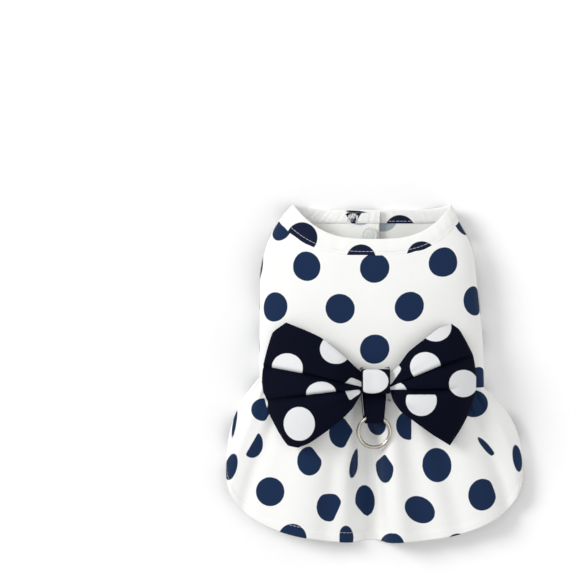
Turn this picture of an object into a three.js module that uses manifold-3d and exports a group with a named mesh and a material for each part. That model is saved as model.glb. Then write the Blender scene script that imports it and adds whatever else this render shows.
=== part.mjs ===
// A small dog's cotton dress, lying on its belly as it is laid out on a table.
// Millimetres, +Z up. +Y runs along the dog's back towards the neck, and +X to the right as seen from above.
// The body is a soft tube, open at the neck and at the tail, with two leg holes underneath. It closes with
// four snaps along the belly. A gathered skirt hangs from the waist seam over the back and the sides. A bow
// sits on the seam, with a cloth loop below its knot that holds a steel lead ring.
import * as THREE from "three";
import { mergeVertices } from "three/addons/utils/BufferGeometryUtils.js";
import Module from "manifold-3d";

// Cloth and clearances
const CLOTH = 1.0; // one wall of cotton
const BINDING_CLOTH = 1.8; // the neck binding, folded over the edge
const BOW_CLOTH = 1.2; // the bow's doubled cloth
const GAP = 0.3; // between pieces that meet

// Body
const CHEST_WIDTH = 156;
const CHEST_DEPTH = 37; // from the table to the highest point of the back
const SIDE_DEPTH = 12; // from the table to the fold along each side
const ROLL_WIDTH = 26; // how far the cloth rolls under each side before it lies flat
const BODY_LENGTH = 124.5; // from the waist seam to the corner of the neck, along the side
const FULLNESS = 2.3; // exponent of the back's rounded section: 2 is an ellipse
const WAIST_DIP = 5.5; // the waist seam is this much nearer the tail at the middle of the back
const WAIST_SKEW = 3.5; // and this much nearer the tail on the right, and further from it on the left
const NECK_DROP = 24; // the back's neckline lies this far below the corners of the neck
const NECK_CURVE = 2.7; // exponent of the neckline's curve
const BELLY_NECK_DROP = 3.5;
const BINDING_WIDTH = 12;

// Leg holes
const LEG_HOLE_LENGTH = 52;
const LEG_HOLE_FROM_NECK = 49; // from the corner of the neck to the middle of the hole
const SIDE_SEAM = 1.12; // place of the side seam round the body: 1 is the side fold, 2 the end of the roll
const LEG_HOLE_UP = 0.08; // how far the hole reaches above and below the seam, in the same measure
const LEG_HOLE_DOWN = 0.95;

// Belly closure
const PLACKET_X = -3.5;
const PLACKET_OVERLAP = 18;
const PLACKET_RISE = 26; // the belly climbs over the snaps within this distance
const SNAP_COUNT = 4;
const SNAP_PITCH = 31.5;
const SNAP_FROM_NECK = 18;
const SNAP_RADIUS = 6;
const SNAP_CAP = 1.1;
const SNAP_POST_RADIUS = 1.5;
const SNAP_HUB_RADIUS = 4.6;
const SNAP_STUD_RADIUS = 1.8;
const SNAP_STUD = 0.9; // height of the stud, and of the disc it stands on
const SNAP_SIDES = 10;
const OUTER_LIFT = SNAP_CAP + GAP; // how far the right layer of the belly climbs over the outer caps
const INNER_LIFT = OUTER_LIFT + CLOTH + 2 * GAP + 3 * SNAP_STUD; // and the left layer on top of it

// Skirt
const SKIRT_WIDTH = 208;
const SKIRT_SIDE = 62; // from the waist seam to the hem's corner, along the side fold
const HEM_DROP = 51; // the hem's middle lies this much nearer the tail than its corners
const HEM_FULLNESS = 2.4; // exponent of the hem's curve
const SKIRT_FLARE = 2.6; // exponent of the side's outward curve
const HEM_HEIGHT = 15; // of the hem's middle above the table
const HEM_SIDE_HEIGHT = 7; // of the side fold at the hem
const SKIRT_PUFF = 3.5;
const FOLD_DEPTH = 8;
const GATHERS = 13;
const GATHER_DEPTH = 1.1;
const SKIRT_END = 2.5; // where the skirt stops under the belly, in the side seam's measure
const SKIRT_END_LENGTH = 9;

// Bow
const BOW_X = 1;
const BOW_Y = 1.3;
const WING_LENGTH = 75;
const WING_HEIGHT = 86;
const WING_LOFT = 14; // how far the front of a wing's loop stands above its back
const WING_FOLD = 4; // height of the fold at the wing's end above its back
const WING_DROOP = 3.5; // the wings' middles lie this much nearer the tail than the knot
const PINCH_HEIGHT = 12; // the gathered cloth inside the knot
const PINCH_DEPTH = 4.4;
const PLEAT_DEPTH = 5;
const KNOT_WIDTH = 19;
const KNOT_HEIGHT = 16.8;
const KNOT_DEPTH = 10.5;
const KNOT_CORNER = 5; // radius of its two upper edges
const KNOT_FOOT = 2; // radius of its two lower edges
const KNOT_CLOTH = 1.2;

// Lead loop and ring
const LOOP_X = -0.6;
const LOOP_WIDTH = 12.8;
const LOOP_REACH = 30; // from the knot's middle to the loop's fold
const LOOP_TURN = 3.05; // inner radius of the channel that the ring turns in
const RING_RADIUS = 11.1; // of the wire's centre line
const WIRE_RADIUS = 1.3;
const RING_SIDES = 28;
const WIRE_SIDES = 8;

// Sections of the body, from the waist seam (0) to the neck (1). Half widths are shares of half the chest's
// width, and the height is a share of its depth.
const BODY_SECTIONS = [
  { at: 0.0, left: 1.035, right: 0.985, height: 0.8 },
  { at: 0.25, left: 1.035, right: 0.975, height: 0.93 },
  { at: 0.45, left: 1.03, right: 0.943, height: 1.0 },
  { at: 0.6, left: 1.027, right: 0.918, height: 1.0 },
  { at: 0.7, left: 1.0, right: 0.9, height: 0.98 },
  { at: 0.8, left: 0.952, right: 0.856, height: 0.94 },
  { at: 0.88, left: 0.885, right: 0.785, height: 0.9 },
  { at: 0.94, left: 0.815, right: 0.735, height: 0.86 },
  { at: 1.0, left: 0.73, right: 0.69, height: 0.8 },
];

// Folds of the skirt. Waist and hem say where a fold runs, as shares of the half turn from the middle of the
// back to the side. Width is in the same measure. Depth is a share of the fold depth, above 0 for a ridge.
const SKIRT_FOLDS = [
  { waist: -0.7, hem: -0.86, width: 0.07, depth: 0.3 },
  { waist: -0.5, hem: -0.66, width: 0.06, depth: -0.7 },
  { waist: -0.28, hem: -0.3, width: 0.12, depth: 0.4 },
  { waist: -0.16, hem: -0.16, width: 0.045, depth: -0.35 },
  { waist: -0.06, hem: -0.035, width: 0.055, depth: -1.0 },
  { waist: 0.06, hem: 0.075, width: 0.05, depth: 0.45 },
  { waist: 0.13, hem: 0.19, width: 0.05, depth: -0.55 },
  { waist: 0.2, hem: 0.27, width: 0.05, depth: 0.3 },
  { waist: 0.27, hem: 0.36, width: 0.05, depth: -0.5 },
  { waist: 0.42, hem: 0.5, width: 0.12, depth: 0.35 },
  { waist: 0.56, hem: 0.68, width: 0.06, depth: -0.65 },
  { waist: 0.75, hem: 0.86, width: 0.07, depth: 0.25 },
];

// Each wing of the bow: how far it reaches as a share of the wing's length, how much its two corners fall
// short of that, and its two creases. They run from near the knot to far at its end, -1 low and 1 high on it.
const WINGS = [
  {
    name: "bow_left", side: -1, reach: 1.05, top: 0.22, bottom: 0.27,
    creases: [{ near: 0.15, far: 0.27 }, { near: -0.12, far: -0.23 }],
  },
  {
    name: "bow_right", side: 1, reach: 0.94, top: 0.26, bottom: 0.27,
    creases: [{ near: 0.2, far: 0.48 }, { near: -0.12, far: -0.02 }],
  },
];

// Half height of a wing from the knot (0) to the end (1), as a share of half its full height.
const WING_OUTLINE = [
  { at: 0.0, height: 0.0 },
  { at: 0.19, height: 0.01 },
  { at: 0.235, height: 0.15 },
  { at: 0.32, height: 0.38 },
  { at: 0.55, height: 0.68 },
  { at: 0.8, height: 0.9 },
  { at: 1.0, height: 1.0 },
];

const WING_ROWS = [0, 0.1, 0.19, 0.235, 0.3, 0.4, 0.52, 0.65, 0.77, 0.87, 0.95, 1];

const COLORS = {
  cotton: 0xf4f4f2,
  navy: 0x14182a,
  snap: 0xdadcd8,
  steel: 0xc8c2b8,
};

const clamp01 = (x) => Math.min(1, Math.max(0, x));
const mix = (a, b, t) => a + (b - a) * t;
const smooth = (x) => clamp01(x) ** 2 * (3 - 2 * clamp01(x));
const steps = (count) => Array.from({ length: count + 1 }, (_, i) => i / count);

// A table's column at a place between its rows, on a smooth curve through them.
function along(table, column, at) {
  const last = table.length - 2;
  let i = table.findIndex((row, k) => k > last || at <= table[k + 1].at);
  i = Math.min(i, last);
  const slope = (k) => {
    const before = table[Math.max(0, k - 1)];
    const after = table[Math.min(table.length - 1, k + 1)];
    return (after[column] - before[column]) / (after.at - before.at);
  };
  const [low, high] = [table[i], table[i + 1]];
  const span = high.at - low.at;
  const t = clamp01((at - low.at) / span);
  const bend = t * t * (3 - 2 * t);
  return (
    mix(low[column], high[column], bend) +
    span * (slope(i) * t * (1 - t) ** 2 - slope(i + 1) * t * t * (1 - t))
  );
}

// A closed solid from a grid of points. Column and row places run from 0 to 1, pointAt gives the surface, and
// out and inward are the distances of the two faces from it.
function shell(pointAt, columns, rows, out, inward) {
  const nudge = 1e-3;
  const faces = [[], []];
  for (const b of rows) {
    for (const a of columns) {
      const alongA = pointAt(Math.min(1, a + nudge), b).sub(pointAt(Math.max(0, a - nudge), b));
      const alongB = pointAt(a, Math.min(1, b + nudge)).sub(pointAt(a, Math.max(0, b - nudge)));
      const normal = alongA.cross(alongB).normalize();
      const middle = pointAt(a, b);
      faces[0].push(middle.clone().addScaledVector(normal, out));
      faces[1].push(middle.addScaledVector(normal, -inward));
    }
  }
  const across = columns.length;
  const down = rows.length;
  const points = [...faces[0], ...faces[1]];
  const half = across * down;
  const index = [];
  const quad = (p, q, r, s) => index.push(p, q, r, p, r, s);
  for (let j = 0; j + 1 < down; j++) {
    for (let i = 0; i + 1 < across; i++) {
      const p = j * across + i;
      quad(p, p + 1, p + across + 1, p + across);
      quad(half + p, half + p + across, half + p + across + 1, half + p + 1);
    }
  }
  for (let i = 0; i + 1 < across; i++) {
    const top = (down - 1) * across + i;
    quad(i + 1, i, half + i, half + i + 1);
    quad(top, top + 1, half + top + 1, half + top);
  }
  for (let j = 0; j + 1 < down; j++) {
    const left = j * across;
    const right = left + across - 1;
    quad(left, left + across, half + left + across, half + left);
    quad(right + across, right, half + right, half + right + across);
  }
  return solidFrom(points, index);
}

// A geometry from points and triangles, turned so that its faces point out.
function solidFrom(points, index) {
  let volume = 0;
  for (let i = 0; i < index.length; i += 3) {
    const [p, q, r] = [points[index[i]], points[index[i + 1]], points[index[i + 2]]];
    volume += p.dot(q.clone().cross(r));
  }
  if (volume < 0) {
    for (let i = 0; i < index.length; i += 3) [index[i + 1], index[i + 2]] = [index[i + 2], index[i + 1]];
  }
  const geometry = new THREE.BufferGeometry().setFromPoints(points);
  geometry.setIndex(index);
  return geometry;
}

// The belly's height above the table, higher where its two layers lie over the snaps.
function bellyLift(side, x) {
  const near = PLACKET_OVERLAP / 2 + 2;
  const share = 1 - smooth((Math.abs(x - PLACKET_X) - near) / PLACKET_RISE);
  return share * (side > 0 ? OUTER_LIFT : INNER_LIFT);
}

// The body's outer face. Round runs from the middle of the back (0) over the side fold (1) and the roll (2)
// to the edge of the belly's closure (3), below 0 on the left. Up runs from the waist seam (0) to the neck (1).
// Y is 0 at the waist seam's side.
function bodyY(round, up) {
  const q = Math.abs(round);
  const sine = Math.sin((Math.min(q, 1) * Math.PI) / 2);
  const neck = BODY_LENGTH - NECK_DROP * (1 - sine ** NECK_CURVE) - BELLY_NECK_DROP * smooth(q - 1);
  const skew = WAIST_SKEW * (q > 1 ? (3 - q) / 2 : sine) * Math.sign(round);
  const waist = -WAIST_DIP * (1 - sine * sine) - skew;
  return mix(waist, neck, up);
}
function bodyPoint(round, up) {
  const side = round < 0 ? -1 : 1;
  const q = Math.abs(round);
  const half = (CHEST_WIDTH / 2) * along(BODY_SECTIONS, side < 0 ? "left" : "right", up);
  const top = CHEST_DEPTH * along(BODY_SECTIONS, "height", up);
  const y = bodyY(round, up);
  if (q <= 1) {
    const angle = (q * Math.PI) / 2;
    const rise = Math.cos(angle) ** (2 / FULLNESS);
    return new THREE.Vector3(side * half * Math.sin(angle) ** (2 / FULLNESS), y, mix(SIDE_DEPTH, top, rise));
  }
  if (q <= 2) {
    const angle = ((q - 1) * Math.PI) / 2;
    const x = side * (half - ROLL_WIDTH * (1 - Math.cos(angle)));
    return new THREE.Vector3(x, y, SIDE_DEPTH * (1 - Math.sin(angle)));
  }
  const edge = PLACKET_X - (side * PLACKET_OVERLAP) / 2;
  const x = mix(side * (half - ROLL_WIDTH), edge, q - 2);
  return new THREE.Vector3(x, y, bellyLift(side, x));
}

// How far open the leg hole is at a place up the panel: 1 at its middle and 0 at its ends.
const PANEL_LENGTH = BODY_LENGTH - BINDING_WIDTH;
const LEG_HOLE_AT = 1 - (LEG_HOLE_FROM_NECK - BINDING_WIDTH) / PANEL_LENGTH;
const LEG_HOLE_HALF = LEG_HOLE_LENGTH / 2 / PANEL_LENGTH;
const legHole = (up) => Math.sqrt(Math.max(0, 1 - ((up - LEG_HOLE_AT) / LEG_HOLE_HALF) ** 2));

// Where the binding starts, measured up the body.
const bodyLength = (round) => bodyY(round, 1) - bodyY(round, 0);
const bindingStart = (round) => 1 - BINDING_WIDTH / bodyLength(round);

// Rows up a panel, closer together where the leg hole starts and ends.
const LEG_ROWS = 8;
function panelRows() {
  const holeRows = steps(LEG_ROWS).map((t) => LEG_HOLE_AT - LEG_HOLE_HALF * Math.cos(t * Math.PI));
  const below = steps(4).slice(0, -1).map((t) => t * holeRows[0]);
  const above = steps(2).slice(1).map((t) => mix(holeRows[LEG_ROWS], 1, t));
  return [...below, ...holeRows, ...above];
}

// A panel between two places round the body. The panels end where the binding starts.
function panel(fromRound, toRound, columnCount) {
  const place = (a, b) => {
    const round = mix(fromRound(b), toRound(b), a);
    return bodyPoint(round, b * (bindingStart(round) - GAP / bodyLength(round)));
  };
  return shell(place, steps(columnCount), panelRows(), 0, CLOTH);
}
const seamGap = GAP / ((SIDE_DEPTH * Math.PI) / 2) / 2; // half the gap, in the measure round the body
const backEdge = (up) => SIDE_SEAM - seamGap - LEG_HOLE_UP * legHole(up);
const bellyEdge = (up) => SIDE_SEAM + seamGap + LEG_HOLE_DOWN * legHole(up);

function backPanel() {
  return panel((up) => -backEdge(up), backEdge, 24);
}
function bellyPanel(side) {
  if (side < 0) return panel(() => -3, (up) => -bellyEdge(up), 10);
  return panel(bellyEdge, () => 3, 10);
}
function neckBinding() {
  const place = (a, b) => {
    const round = mix(-3, 3, a);
    return bodyPoint(round, mix(bindingStart(round), 1, b));
  };
  return shell(place, steps(44), steps(2), 0, BINDING_CLOTH);
}

// The skirt's outer face. Round is the body's measure, and down runs from the waist seam (0) to the hem (1).
function skirtFolds(round, down) {
  const open = smooth(down / 0.55);
  let height = 0;
  for (const fold of SKIRT_FOLDS) {
    const middle = mix(fold.waist, fold.hem, down);
    const width = fold.width * mix(0.8, 1.1, down);
    height += fold.depth * Math.exp(-(((round - middle) / width) ** 2));
  }
  return FOLD_DEPTH * height * mix(0.35, 1, open);
}
function skirtPoint(round, down) {
  const side = round < 0 ? -1 : 1;
  const q = Math.abs(round);
  const start = bodyPoint(round, 0);
  const half = (CHEST_WIDTH / 2) * along(BODY_SECTIONS, side < 0 ? "left" : "right", 0);
  const flare = 1 - (1 - down) ** mix(1, SKIRT_FLARE, Math.min(q, 1) ** 2);
  const sideHeight = mix(SIDE_DEPTH, HEM_SIDE_HEIGHT, down);
  const sideX = mix(half, SKIRT_WIDTH / 2, 1 - (1 - down) ** SKIRT_FLARE);
  const waistY = start.y - GAP;
  if (q <= 1) {
    const angle = (q * Math.PI) / 2;
    const hemX = ((side * SKIRT_WIDTH) / 2) * Math.sin(angle) ** (2 / HEM_FULLNESS);
    const hemY = -SKIRT_SIDE - HEM_DROP * Math.cos(angle) ** (2 / HEM_FULLNESS);
    const rise = Math.cos(angle) ** (2 / FULLNESS);
    const middleHeight = mix(CHEST_DEPTH * BODY_SECTIONS[0].height, HEM_HEIGHT, down);
    const puff = SKIRT_PUFF * Math.sin(Math.PI * down);
    const calm = 1 - Math.min(q, 1) ** 6; // folds fade out at the side fold
    const gathered = (1 - smooth(down / 0.3)) * smooth(down / 0.04);
    const gather = GATHER_DEPTH * Math.cos(GATHERS * angle * 2) * gathered;
    const height = mix(sideHeight, middleHeight + puff, rise) + calm * (skirtFolds(round, down) + gather);
    return new THREE.Vector3(
      mix(start.x, hemX, flare),
      mix(waistY, hemY, down),
      Math.max(height, CLOTH + GAP),
    );
  }
  const under = smooth((q - 1) / (SKIRT_END - 1));
  const length = mix(SKIRT_SIDE, SKIRT_END_LENGTH, under);
  const inset = half - Math.abs(start.x);
  const roll = q < 2 ? 1 - Math.sin(((q - 1) * Math.PI) / 2) : 0;
  return new THREE.Vector3(side * (sideX - inset), mix(waistY, -length, down), sideHeight * roll);
}
function skirt() {
  const place = (a, b) => skirtPoint(mix(-SKIRT_END, SKIRT_END, a), 1 - b);
  const topColumns = 52;
  const underColumns = 5;
  const topShare = 0.5 / SKIRT_END;
  const columns = [
    ...steps(underColumns).slice(0, -1).map((t) => t * (0.5 - topShare)),
    ...steps(topColumns).map((t) => 0.5 + topShare * (2 * t - 1)),
    ...steps(underColumns).slice(1).map((t) => mix(0.5 + topShare, 1, t)),
  ];
  return shell(place, columns, steps(8), 0, CLOTH);
}

// The highest point of the dress below a strip along Y, found by looking down on what is built already.
function heightOver(meshes, x, yLow, yHigh) {
  const ray = new THREE.Raycaster();
  const down = new THREE.Vector3(0, 0, -1);
  let highest = 0;
  for (const t of steps(12)) {
    ray.set(new THREE.Vector3(x, mix(yLow, yHigh, t), 3 * CHEST_DEPTH), down);
    const [hit] = ray.intersectObjects(meshes);
    if (hit) highest = Math.max(highest, hit.point.z);
  }
  return highest;
}

// The line that the bow rests on: the highest points of the dress under the knot and the wings.
const wingHalf = (out) => mix(PINCH_HEIGHT, WING_HEIGHT, along(WING_OUTLINE, "height", out)) / 2;
function bowSeat(dress) {
  const table = steps(18).map((t) => {
    const x = mix(-WING_LENGTH, WING_LENGTH, t);
    const out = Math.abs(x) / WING_LENGTH;
    const middle = BOW_Y - WING_DROOP * out;
    const reach = Math.max(KNOT_HEIGHT / 2, wingHalf(clamp01(out * 1.25)));
    return { at: x, z: heightOver(dress, BOW_X + x, middle - reach, middle + reach) };
  });
  return (x) => along(table, "z", x - BOW_X) + 2 * GAP;
}

// A wing is a loop of doubled cloth, gathered at the knot and open at its upper and lower edges. Turn runs
// from the knot along the front (0 to 0.5) round the fold at the end and back along the rear (0.5 to 1).
const PINCH_OUT = (KNOT_WIDTH / 2 + GAP) / WING_LENGTH; // the wing leaves the knot here
function wing({ side, reach, top, bottom, creases }, seat) {
  const start = GAP / 2 + BOW_CLOTH / 2;
  const place = (a, turn) => {
    const h = mix(-1, 1, a);
    const angle = turn * 2 * Math.PI;
    const sine = Math.abs(Math.sin(angle));
    const out = (1 - Math.cos(angle)) / 2;
    const free = smooth((out - PINCH_OUT) / 0.3);
    const tip = WING_LENGTH * reach * (1 - (h > 0 ? top : bottom) * Math.abs(h) ** 2.4);
    const x = BOW_X + side * mix(start, tip, out);
    const y = BOW_Y - WING_DROOP * out + h * wingHalf(out);
    const bed = (KNOT_CLOTH + GAP) * (1 - free) + BOW_CLOTH / 2;
    let z = seat(x) + bed + WING_FOLD * out * (1 - sine);
    if (turn < 0.5) {
      z += PINCH_DEPTH * (1 - out) + WING_LOFT * free * sine * (1 - 0.5 * h * h);
      for (const { near, far } of creases) {
        const width = mix(0.2, 0.11, out);
        const offset = Math.abs((h - mix(near, far, out)) / width);
        z -= PLEAT_DEPTH * free * Math.sqrt(sine) * Math.exp(-(offset ** 1.5));
      }
    }
    return new THREE.Vector3(x, y, z);
  };
  const front = WING_ROWS.map((out) => Math.acos(1 - 2 * out) / (2 * Math.PI));
  const rear = front.slice(0, -1).map((turn) => 1 - turn).reverse();
  return shell(place, steps(14), [...front, ...rear], BOW_CLOTH / 2, BOW_CLOTH / 2);
}

// The knot is a band of cloth round the gathered middle of the bow, with the loop's ends under it.
function roundedBox(width, height, corner, foot) {
  const [x, y] = [width / 2, height / 2];
  const shape = new THREE.Shape();
  shape.moveTo(-x + foot, -y).lineTo(x - foot, -y).absarc(x - foot, -y + foot, foot, -Math.PI / 2, 0);
  shape.lineTo(x, y - corner).absarc(x - corner, y - corner, corner, 0, Math.PI / 2);
  shape.lineTo(-x + corner, y).absarc(-x + corner, y - corner, corner, Math.PI / 2, Math.PI);
  shape.lineTo(-x, -y + foot).absarc(-x + foot, -y + foot, foot, Math.PI, 1.5 * Math.PI);
  return shape;
}
// Turns a profile drawn as (Y, Z) and extruded by a width into a piece that lies across X.
function acrossX(shape, width) {
  const geometry = new THREE.ExtrudeGeometry(shape, { depth: width, bevelEnabled: false, curveSegments: 5 });
  geometry.translate(0, 0, -width / 2);
  return geometry.applyMatrix4(new THREE.Matrix4().makeBasis(
    new THREE.Vector3(0, 1, 0), new THREE.Vector3(0, 0, 1), new THREE.Vector3(1, 0, 0)));
}
function knot() {
  const shape = roundedBox(KNOT_HEIGHT, KNOT_DEPTH, KNOT_CORNER, KNOT_FOOT);
  const walls = 2 * KNOT_CLOTH;
  shape.holes.push(roundedBox(
    KNOT_HEIGHT - walls, KNOT_DEPTH - walls, KNOT_CORNER - KNOT_CLOTH, KNOT_FOOT - KNOT_CLOTH,
  ));
  return acrossX(shape, KNOT_WIDTH);
}

// The lead loop's profile in Y and Z, from the ring's turning axis: two layers that part round the ring.
function leadLoop(toKnot) {
  const outer = LOOP_TURN + CLOTH;
  const neck = CLOTH + GAP / 2;
  const shape = new THREE.Shape();
  shape.moveTo(toKnot, -outer).lineTo(0, -outer).absarc(0, 0, outer, -Math.PI / 2, Math.PI / 2, true);
  shape.lineTo(toKnot, -outer + 2 * neck).lineTo(toKnot, -outer + neck + GAP / 2);
  shape.lineTo(0, LOOP_TURN).absarc(0, 0, LOOP_TURN, Math.PI / 2, -Math.PI / 2, false);
  shape.lineTo(toKnot, -outer + CLOTH).closePath();
  return acrossX(shape, LOOP_WIDTH);
}

// A fastened snap: the outer half stands on the table with its stud up, and the inner half's socket holds the
// stud.
function lathe(profile) {
  const points = profile.map(([r, z]) => new THREE.Vector2(r, z));
  return new THREE.LatheGeometry(points, SNAP_SIDES).rotateX(Math.PI / 2);
}
function outerSnap() {
  const disc = OUTER_LIFT + CLOTH + GAP;
  return lathe([
    [0, 0], [SNAP_RADIUS * 0.8, 0], [SNAP_RADIUS, SNAP_CAP * 0.55], [SNAP_RADIUS, SNAP_CAP],
    [SNAP_POST_RADIUS, SNAP_CAP], [SNAP_POST_RADIUS, disc], [SNAP_HUB_RADIUS, disc],
    [SNAP_HUB_RADIUS, disc + SNAP_STUD], [SNAP_STUD_RADIUS, disc + SNAP_STUD],
    [SNAP_STUD_RADIUS, disc + 2 * SNAP_STUD], [0, disc + 2 * SNAP_STUD],
  ]);
}
function innerSnap() {
  const low = OUTER_LIFT + CLOTH + 2 * GAP + SNAP_STUD;
  const high = INNER_LIFT - GAP;
  const cap = INNER_LIFT + CLOTH + GAP;
  const roof = low + SNAP_STUD + GAP;
  return lathe([
    [0, roof], [SNAP_STUD_RADIUS + GAP, roof], [SNAP_STUD_RADIUS + GAP, low], [SNAP_HUB_RADIUS, low],
    [SNAP_HUB_RADIUS, high], [SNAP_POST_RADIUS, high], [SNAP_POST_RADIUS, cap], [SNAP_RADIUS, cap],
    [SNAP_RADIUS, cap + SNAP_CAP * 0.45], [SNAP_RADIUS * 0.8, cap + SNAP_CAP], [0, cap + SNAP_CAP],
  ]);
}

const wasm = await Module();
wasm.setup();
function toSolid(geometry) {
  const bare = new THREE.BufferGeometry();
  bare.setAttribute("position", geometry.getAttribute("position"));
  bare.setIndex(geometry.index);
  const merged = mergeVertices(bare, 1e-4);
  return new wasm.Manifold(new wasm.Mesh({
    numProp: 3,
    vertProperties: new Float32Array(merged.getAttribute("position").array),
    triVerts: new Uint32Array(merged.index.array),
  }));
}
function fromSolid(solid) {
  const mesh = solid.getMesh();
  const geometry = new THREE.BufferGeometry();
  geometry.setAttribute("position", new THREE.BufferAttribute(new Float32Array(mesh.vertProperties), 3));
  geometry.setIndex(new THREE.BufferAttribute(new Uint32Array(mesh.triVerts), 1));
  return geometry;
}

// Cuts the holes that the snaps' posts pass through.
const snapPlaces = Array.from({ length: SNAP_COUNT }, (_, i) => (
  BODY_LENGTH - BELLY_NECK_DROP - SNAP_FROM_NECK - i * SNAP_PITCH
));
function withPostHoles(geometry) {
  let solid = toSolid(geometry);
  for (const y of snapPlaces) {
    const radius = SNAP_POST_RADIUS + GAP;
    const post = new THREE.CylinderGeometry(radius, radius, 4 * INNER_LIFT, SNAP_SIDES);
    post.rotateX(Math.PI / 2).translate(PLACKET_X, y, 0);
    solid = solid.subtract(toSolid(post));
  }
  return fromSolid(solid);
}

const materials = {
  cotton: new THREE.MeshStandardMaterial({ color: COLORS.cotton, roughness: 0.9, metalness: 0 }),
  navy: new THREE.MeshStandardMaterial({ color: COLORS.navy, roughness: 0.85, metalness: 0 }),
  snap: new THREE.MeshStandardMaterial({ color: COLORS.snap, roughness: 0.4, metalness: 0 }),
  steel: new THREE.MeshStandardMaterial({ color: COLORS.steel, roughness: 0.25, metalness: 1 }),
};
const dress = new THREE.Group();
function add(name, geometry, material) {
  const mesh = new THREE.Mesh(geometry, materials[material]);
  mesh.name = name;
  dress.add(mesh);
  return mesh;
}

const back = add("back_panel", backPanel(), "cotton");
add("belly_panel_left", withPostHoles(bellyPanel(-1)), "cotton");
add("belly_panel_right", withPostHoles(bellyPanel(1)), "cotton");
add("neck_binding", neckBinding(), "cotton");
const skirtMesh = add("skirt", skirt(), "cotton");
const top = [back, skirtMesh];

const seat = bowSeat(top);
for (const row of WINGS) add(row.name, wing(row, seat), "navy");
const knotMesh = add("bow_knot", knot(), "navy");
knotMesh.position.set(BOW_X, BOW_Y, seat(BOW_X) + KNOT_DEPTH / 2);

// The loop lies on the skirt, and its upper end stops under the knot's edge.
const axisY = BOW_Y - LOOP_REACH + LOOP_TURN + CLOTH;
const loopEnd = BOW_Y - KNOT_HEIGHT / 2 - GAP - axisY;
const loopSides = [-LOOP_WIDTH / 2, 0, LOOP_WIDTH / 2];
const loopBed = Math.max(...loopSides.map((x) => (
  heightOver(top, LOOP_X + x, axisY - LOOP_TURN - CLOTH, axisY + loopEnd)
)));
const axisZ = loopBed + GAP + LOOP_TURN + CLOTH;
const loopMesh = add("leash_loop", leadLoop(loopEnd), "navy");
loopMesh.position.set(LOOP_X, axisY, axisZ);

// The ring turns about a line that halves the rise of its wire inside the loop. It lies on the skirt, tilted
// as far as the cloth below each part of its wire lets it.
const wireRise = (RING_RADIUS - Math.sqrt(RING_RADIUS ** 2 - (LOOP_WIDTH / 2) ** 2)) / 2;
const ringTilt = Math.min(...steps(16).slice(4, 13).map((t) => {
  const x = RING_RADIUS * Math.sin(2 * Math.PI * t);
  const reach = RING_RADIUS - wireRise - RING_RADIUS * Math.cos(2 * Math.PI * t);
  const bed = heightOver(top, LOOP_X + x, axisY - reach - WIRE_RADIUS, axisY - reach + WIRE_RADIUS);
  return Math.atan2(axisZ - bed - GAP - WIRE_RADIUS, reach);
}));
const wire = new THREE.TorusGeometry(RING_RADIUS, WIRE_RADIUS, WIRE_SIDES, RING_SIDES);
const ring = add("leash_ring", wire.translate(0, -RING_RADIUS + wireRise, 0), "steel");
ring.rotation.x = ringTilt;
ring.position.set(LOOP_X, axisY, axisZ);

for (const [i, y] of snapPlaces.entries()) {
  add(`snap_outer_${i + 1}`, outerSnap(), "snap").position.set(PLACKET_X, y, 0);
  add(`snap_inner_${i + 1}`, innerSnap(), "snap").position.set(PLACKET_X, y, 0);
}

const box = new THREE.Box3().setFromObject(dress);
const centre = box.getCenter(new THREE.Vector3());
dress.position.set(-centre.x, -centre.y, -box.min.z);

export default dress;
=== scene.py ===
"""A small dog's cotton dress, laid out on its belly: dotted bodice and skirt, navy bow and nickel lead ring.

Tables and lengths are in millimetres, in the order that the pattern is cut in. Meshes are in metres.
"""

import math
import typing

import bpy
import numpy as np
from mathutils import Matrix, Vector
from mathutils.bvhtree import BVHTree


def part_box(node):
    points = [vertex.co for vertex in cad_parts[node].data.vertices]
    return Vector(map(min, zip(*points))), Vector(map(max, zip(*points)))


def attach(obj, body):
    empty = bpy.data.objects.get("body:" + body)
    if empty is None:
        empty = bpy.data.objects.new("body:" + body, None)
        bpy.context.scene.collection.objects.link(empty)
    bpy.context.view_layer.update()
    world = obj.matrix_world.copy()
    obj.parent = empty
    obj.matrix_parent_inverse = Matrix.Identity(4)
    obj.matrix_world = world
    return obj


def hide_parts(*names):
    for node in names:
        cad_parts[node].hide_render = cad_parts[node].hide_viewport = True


bl_info = {
    "name": "Dog Dress",
    "version": (1, 0, 0),
    "blender": (4, 5, 0),
    "location": "View3D > Sidebar > Dog Dress",
    "description": "Builds a small polka-dot dog dress with a bow and a lead ring",
    "category": "Add Mesh",
}

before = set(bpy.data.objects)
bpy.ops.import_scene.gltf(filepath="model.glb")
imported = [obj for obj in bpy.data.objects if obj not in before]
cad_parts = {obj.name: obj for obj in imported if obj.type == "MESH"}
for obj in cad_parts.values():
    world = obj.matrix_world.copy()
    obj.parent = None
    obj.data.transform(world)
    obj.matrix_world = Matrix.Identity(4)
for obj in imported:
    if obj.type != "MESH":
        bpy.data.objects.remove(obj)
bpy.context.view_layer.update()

MM = 0.001


def table(columns, *rows):
    """A table's rows, each with its values under the columns' names."""
    return [dict(zip(columns.split(), row)) for row in rows]


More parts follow.
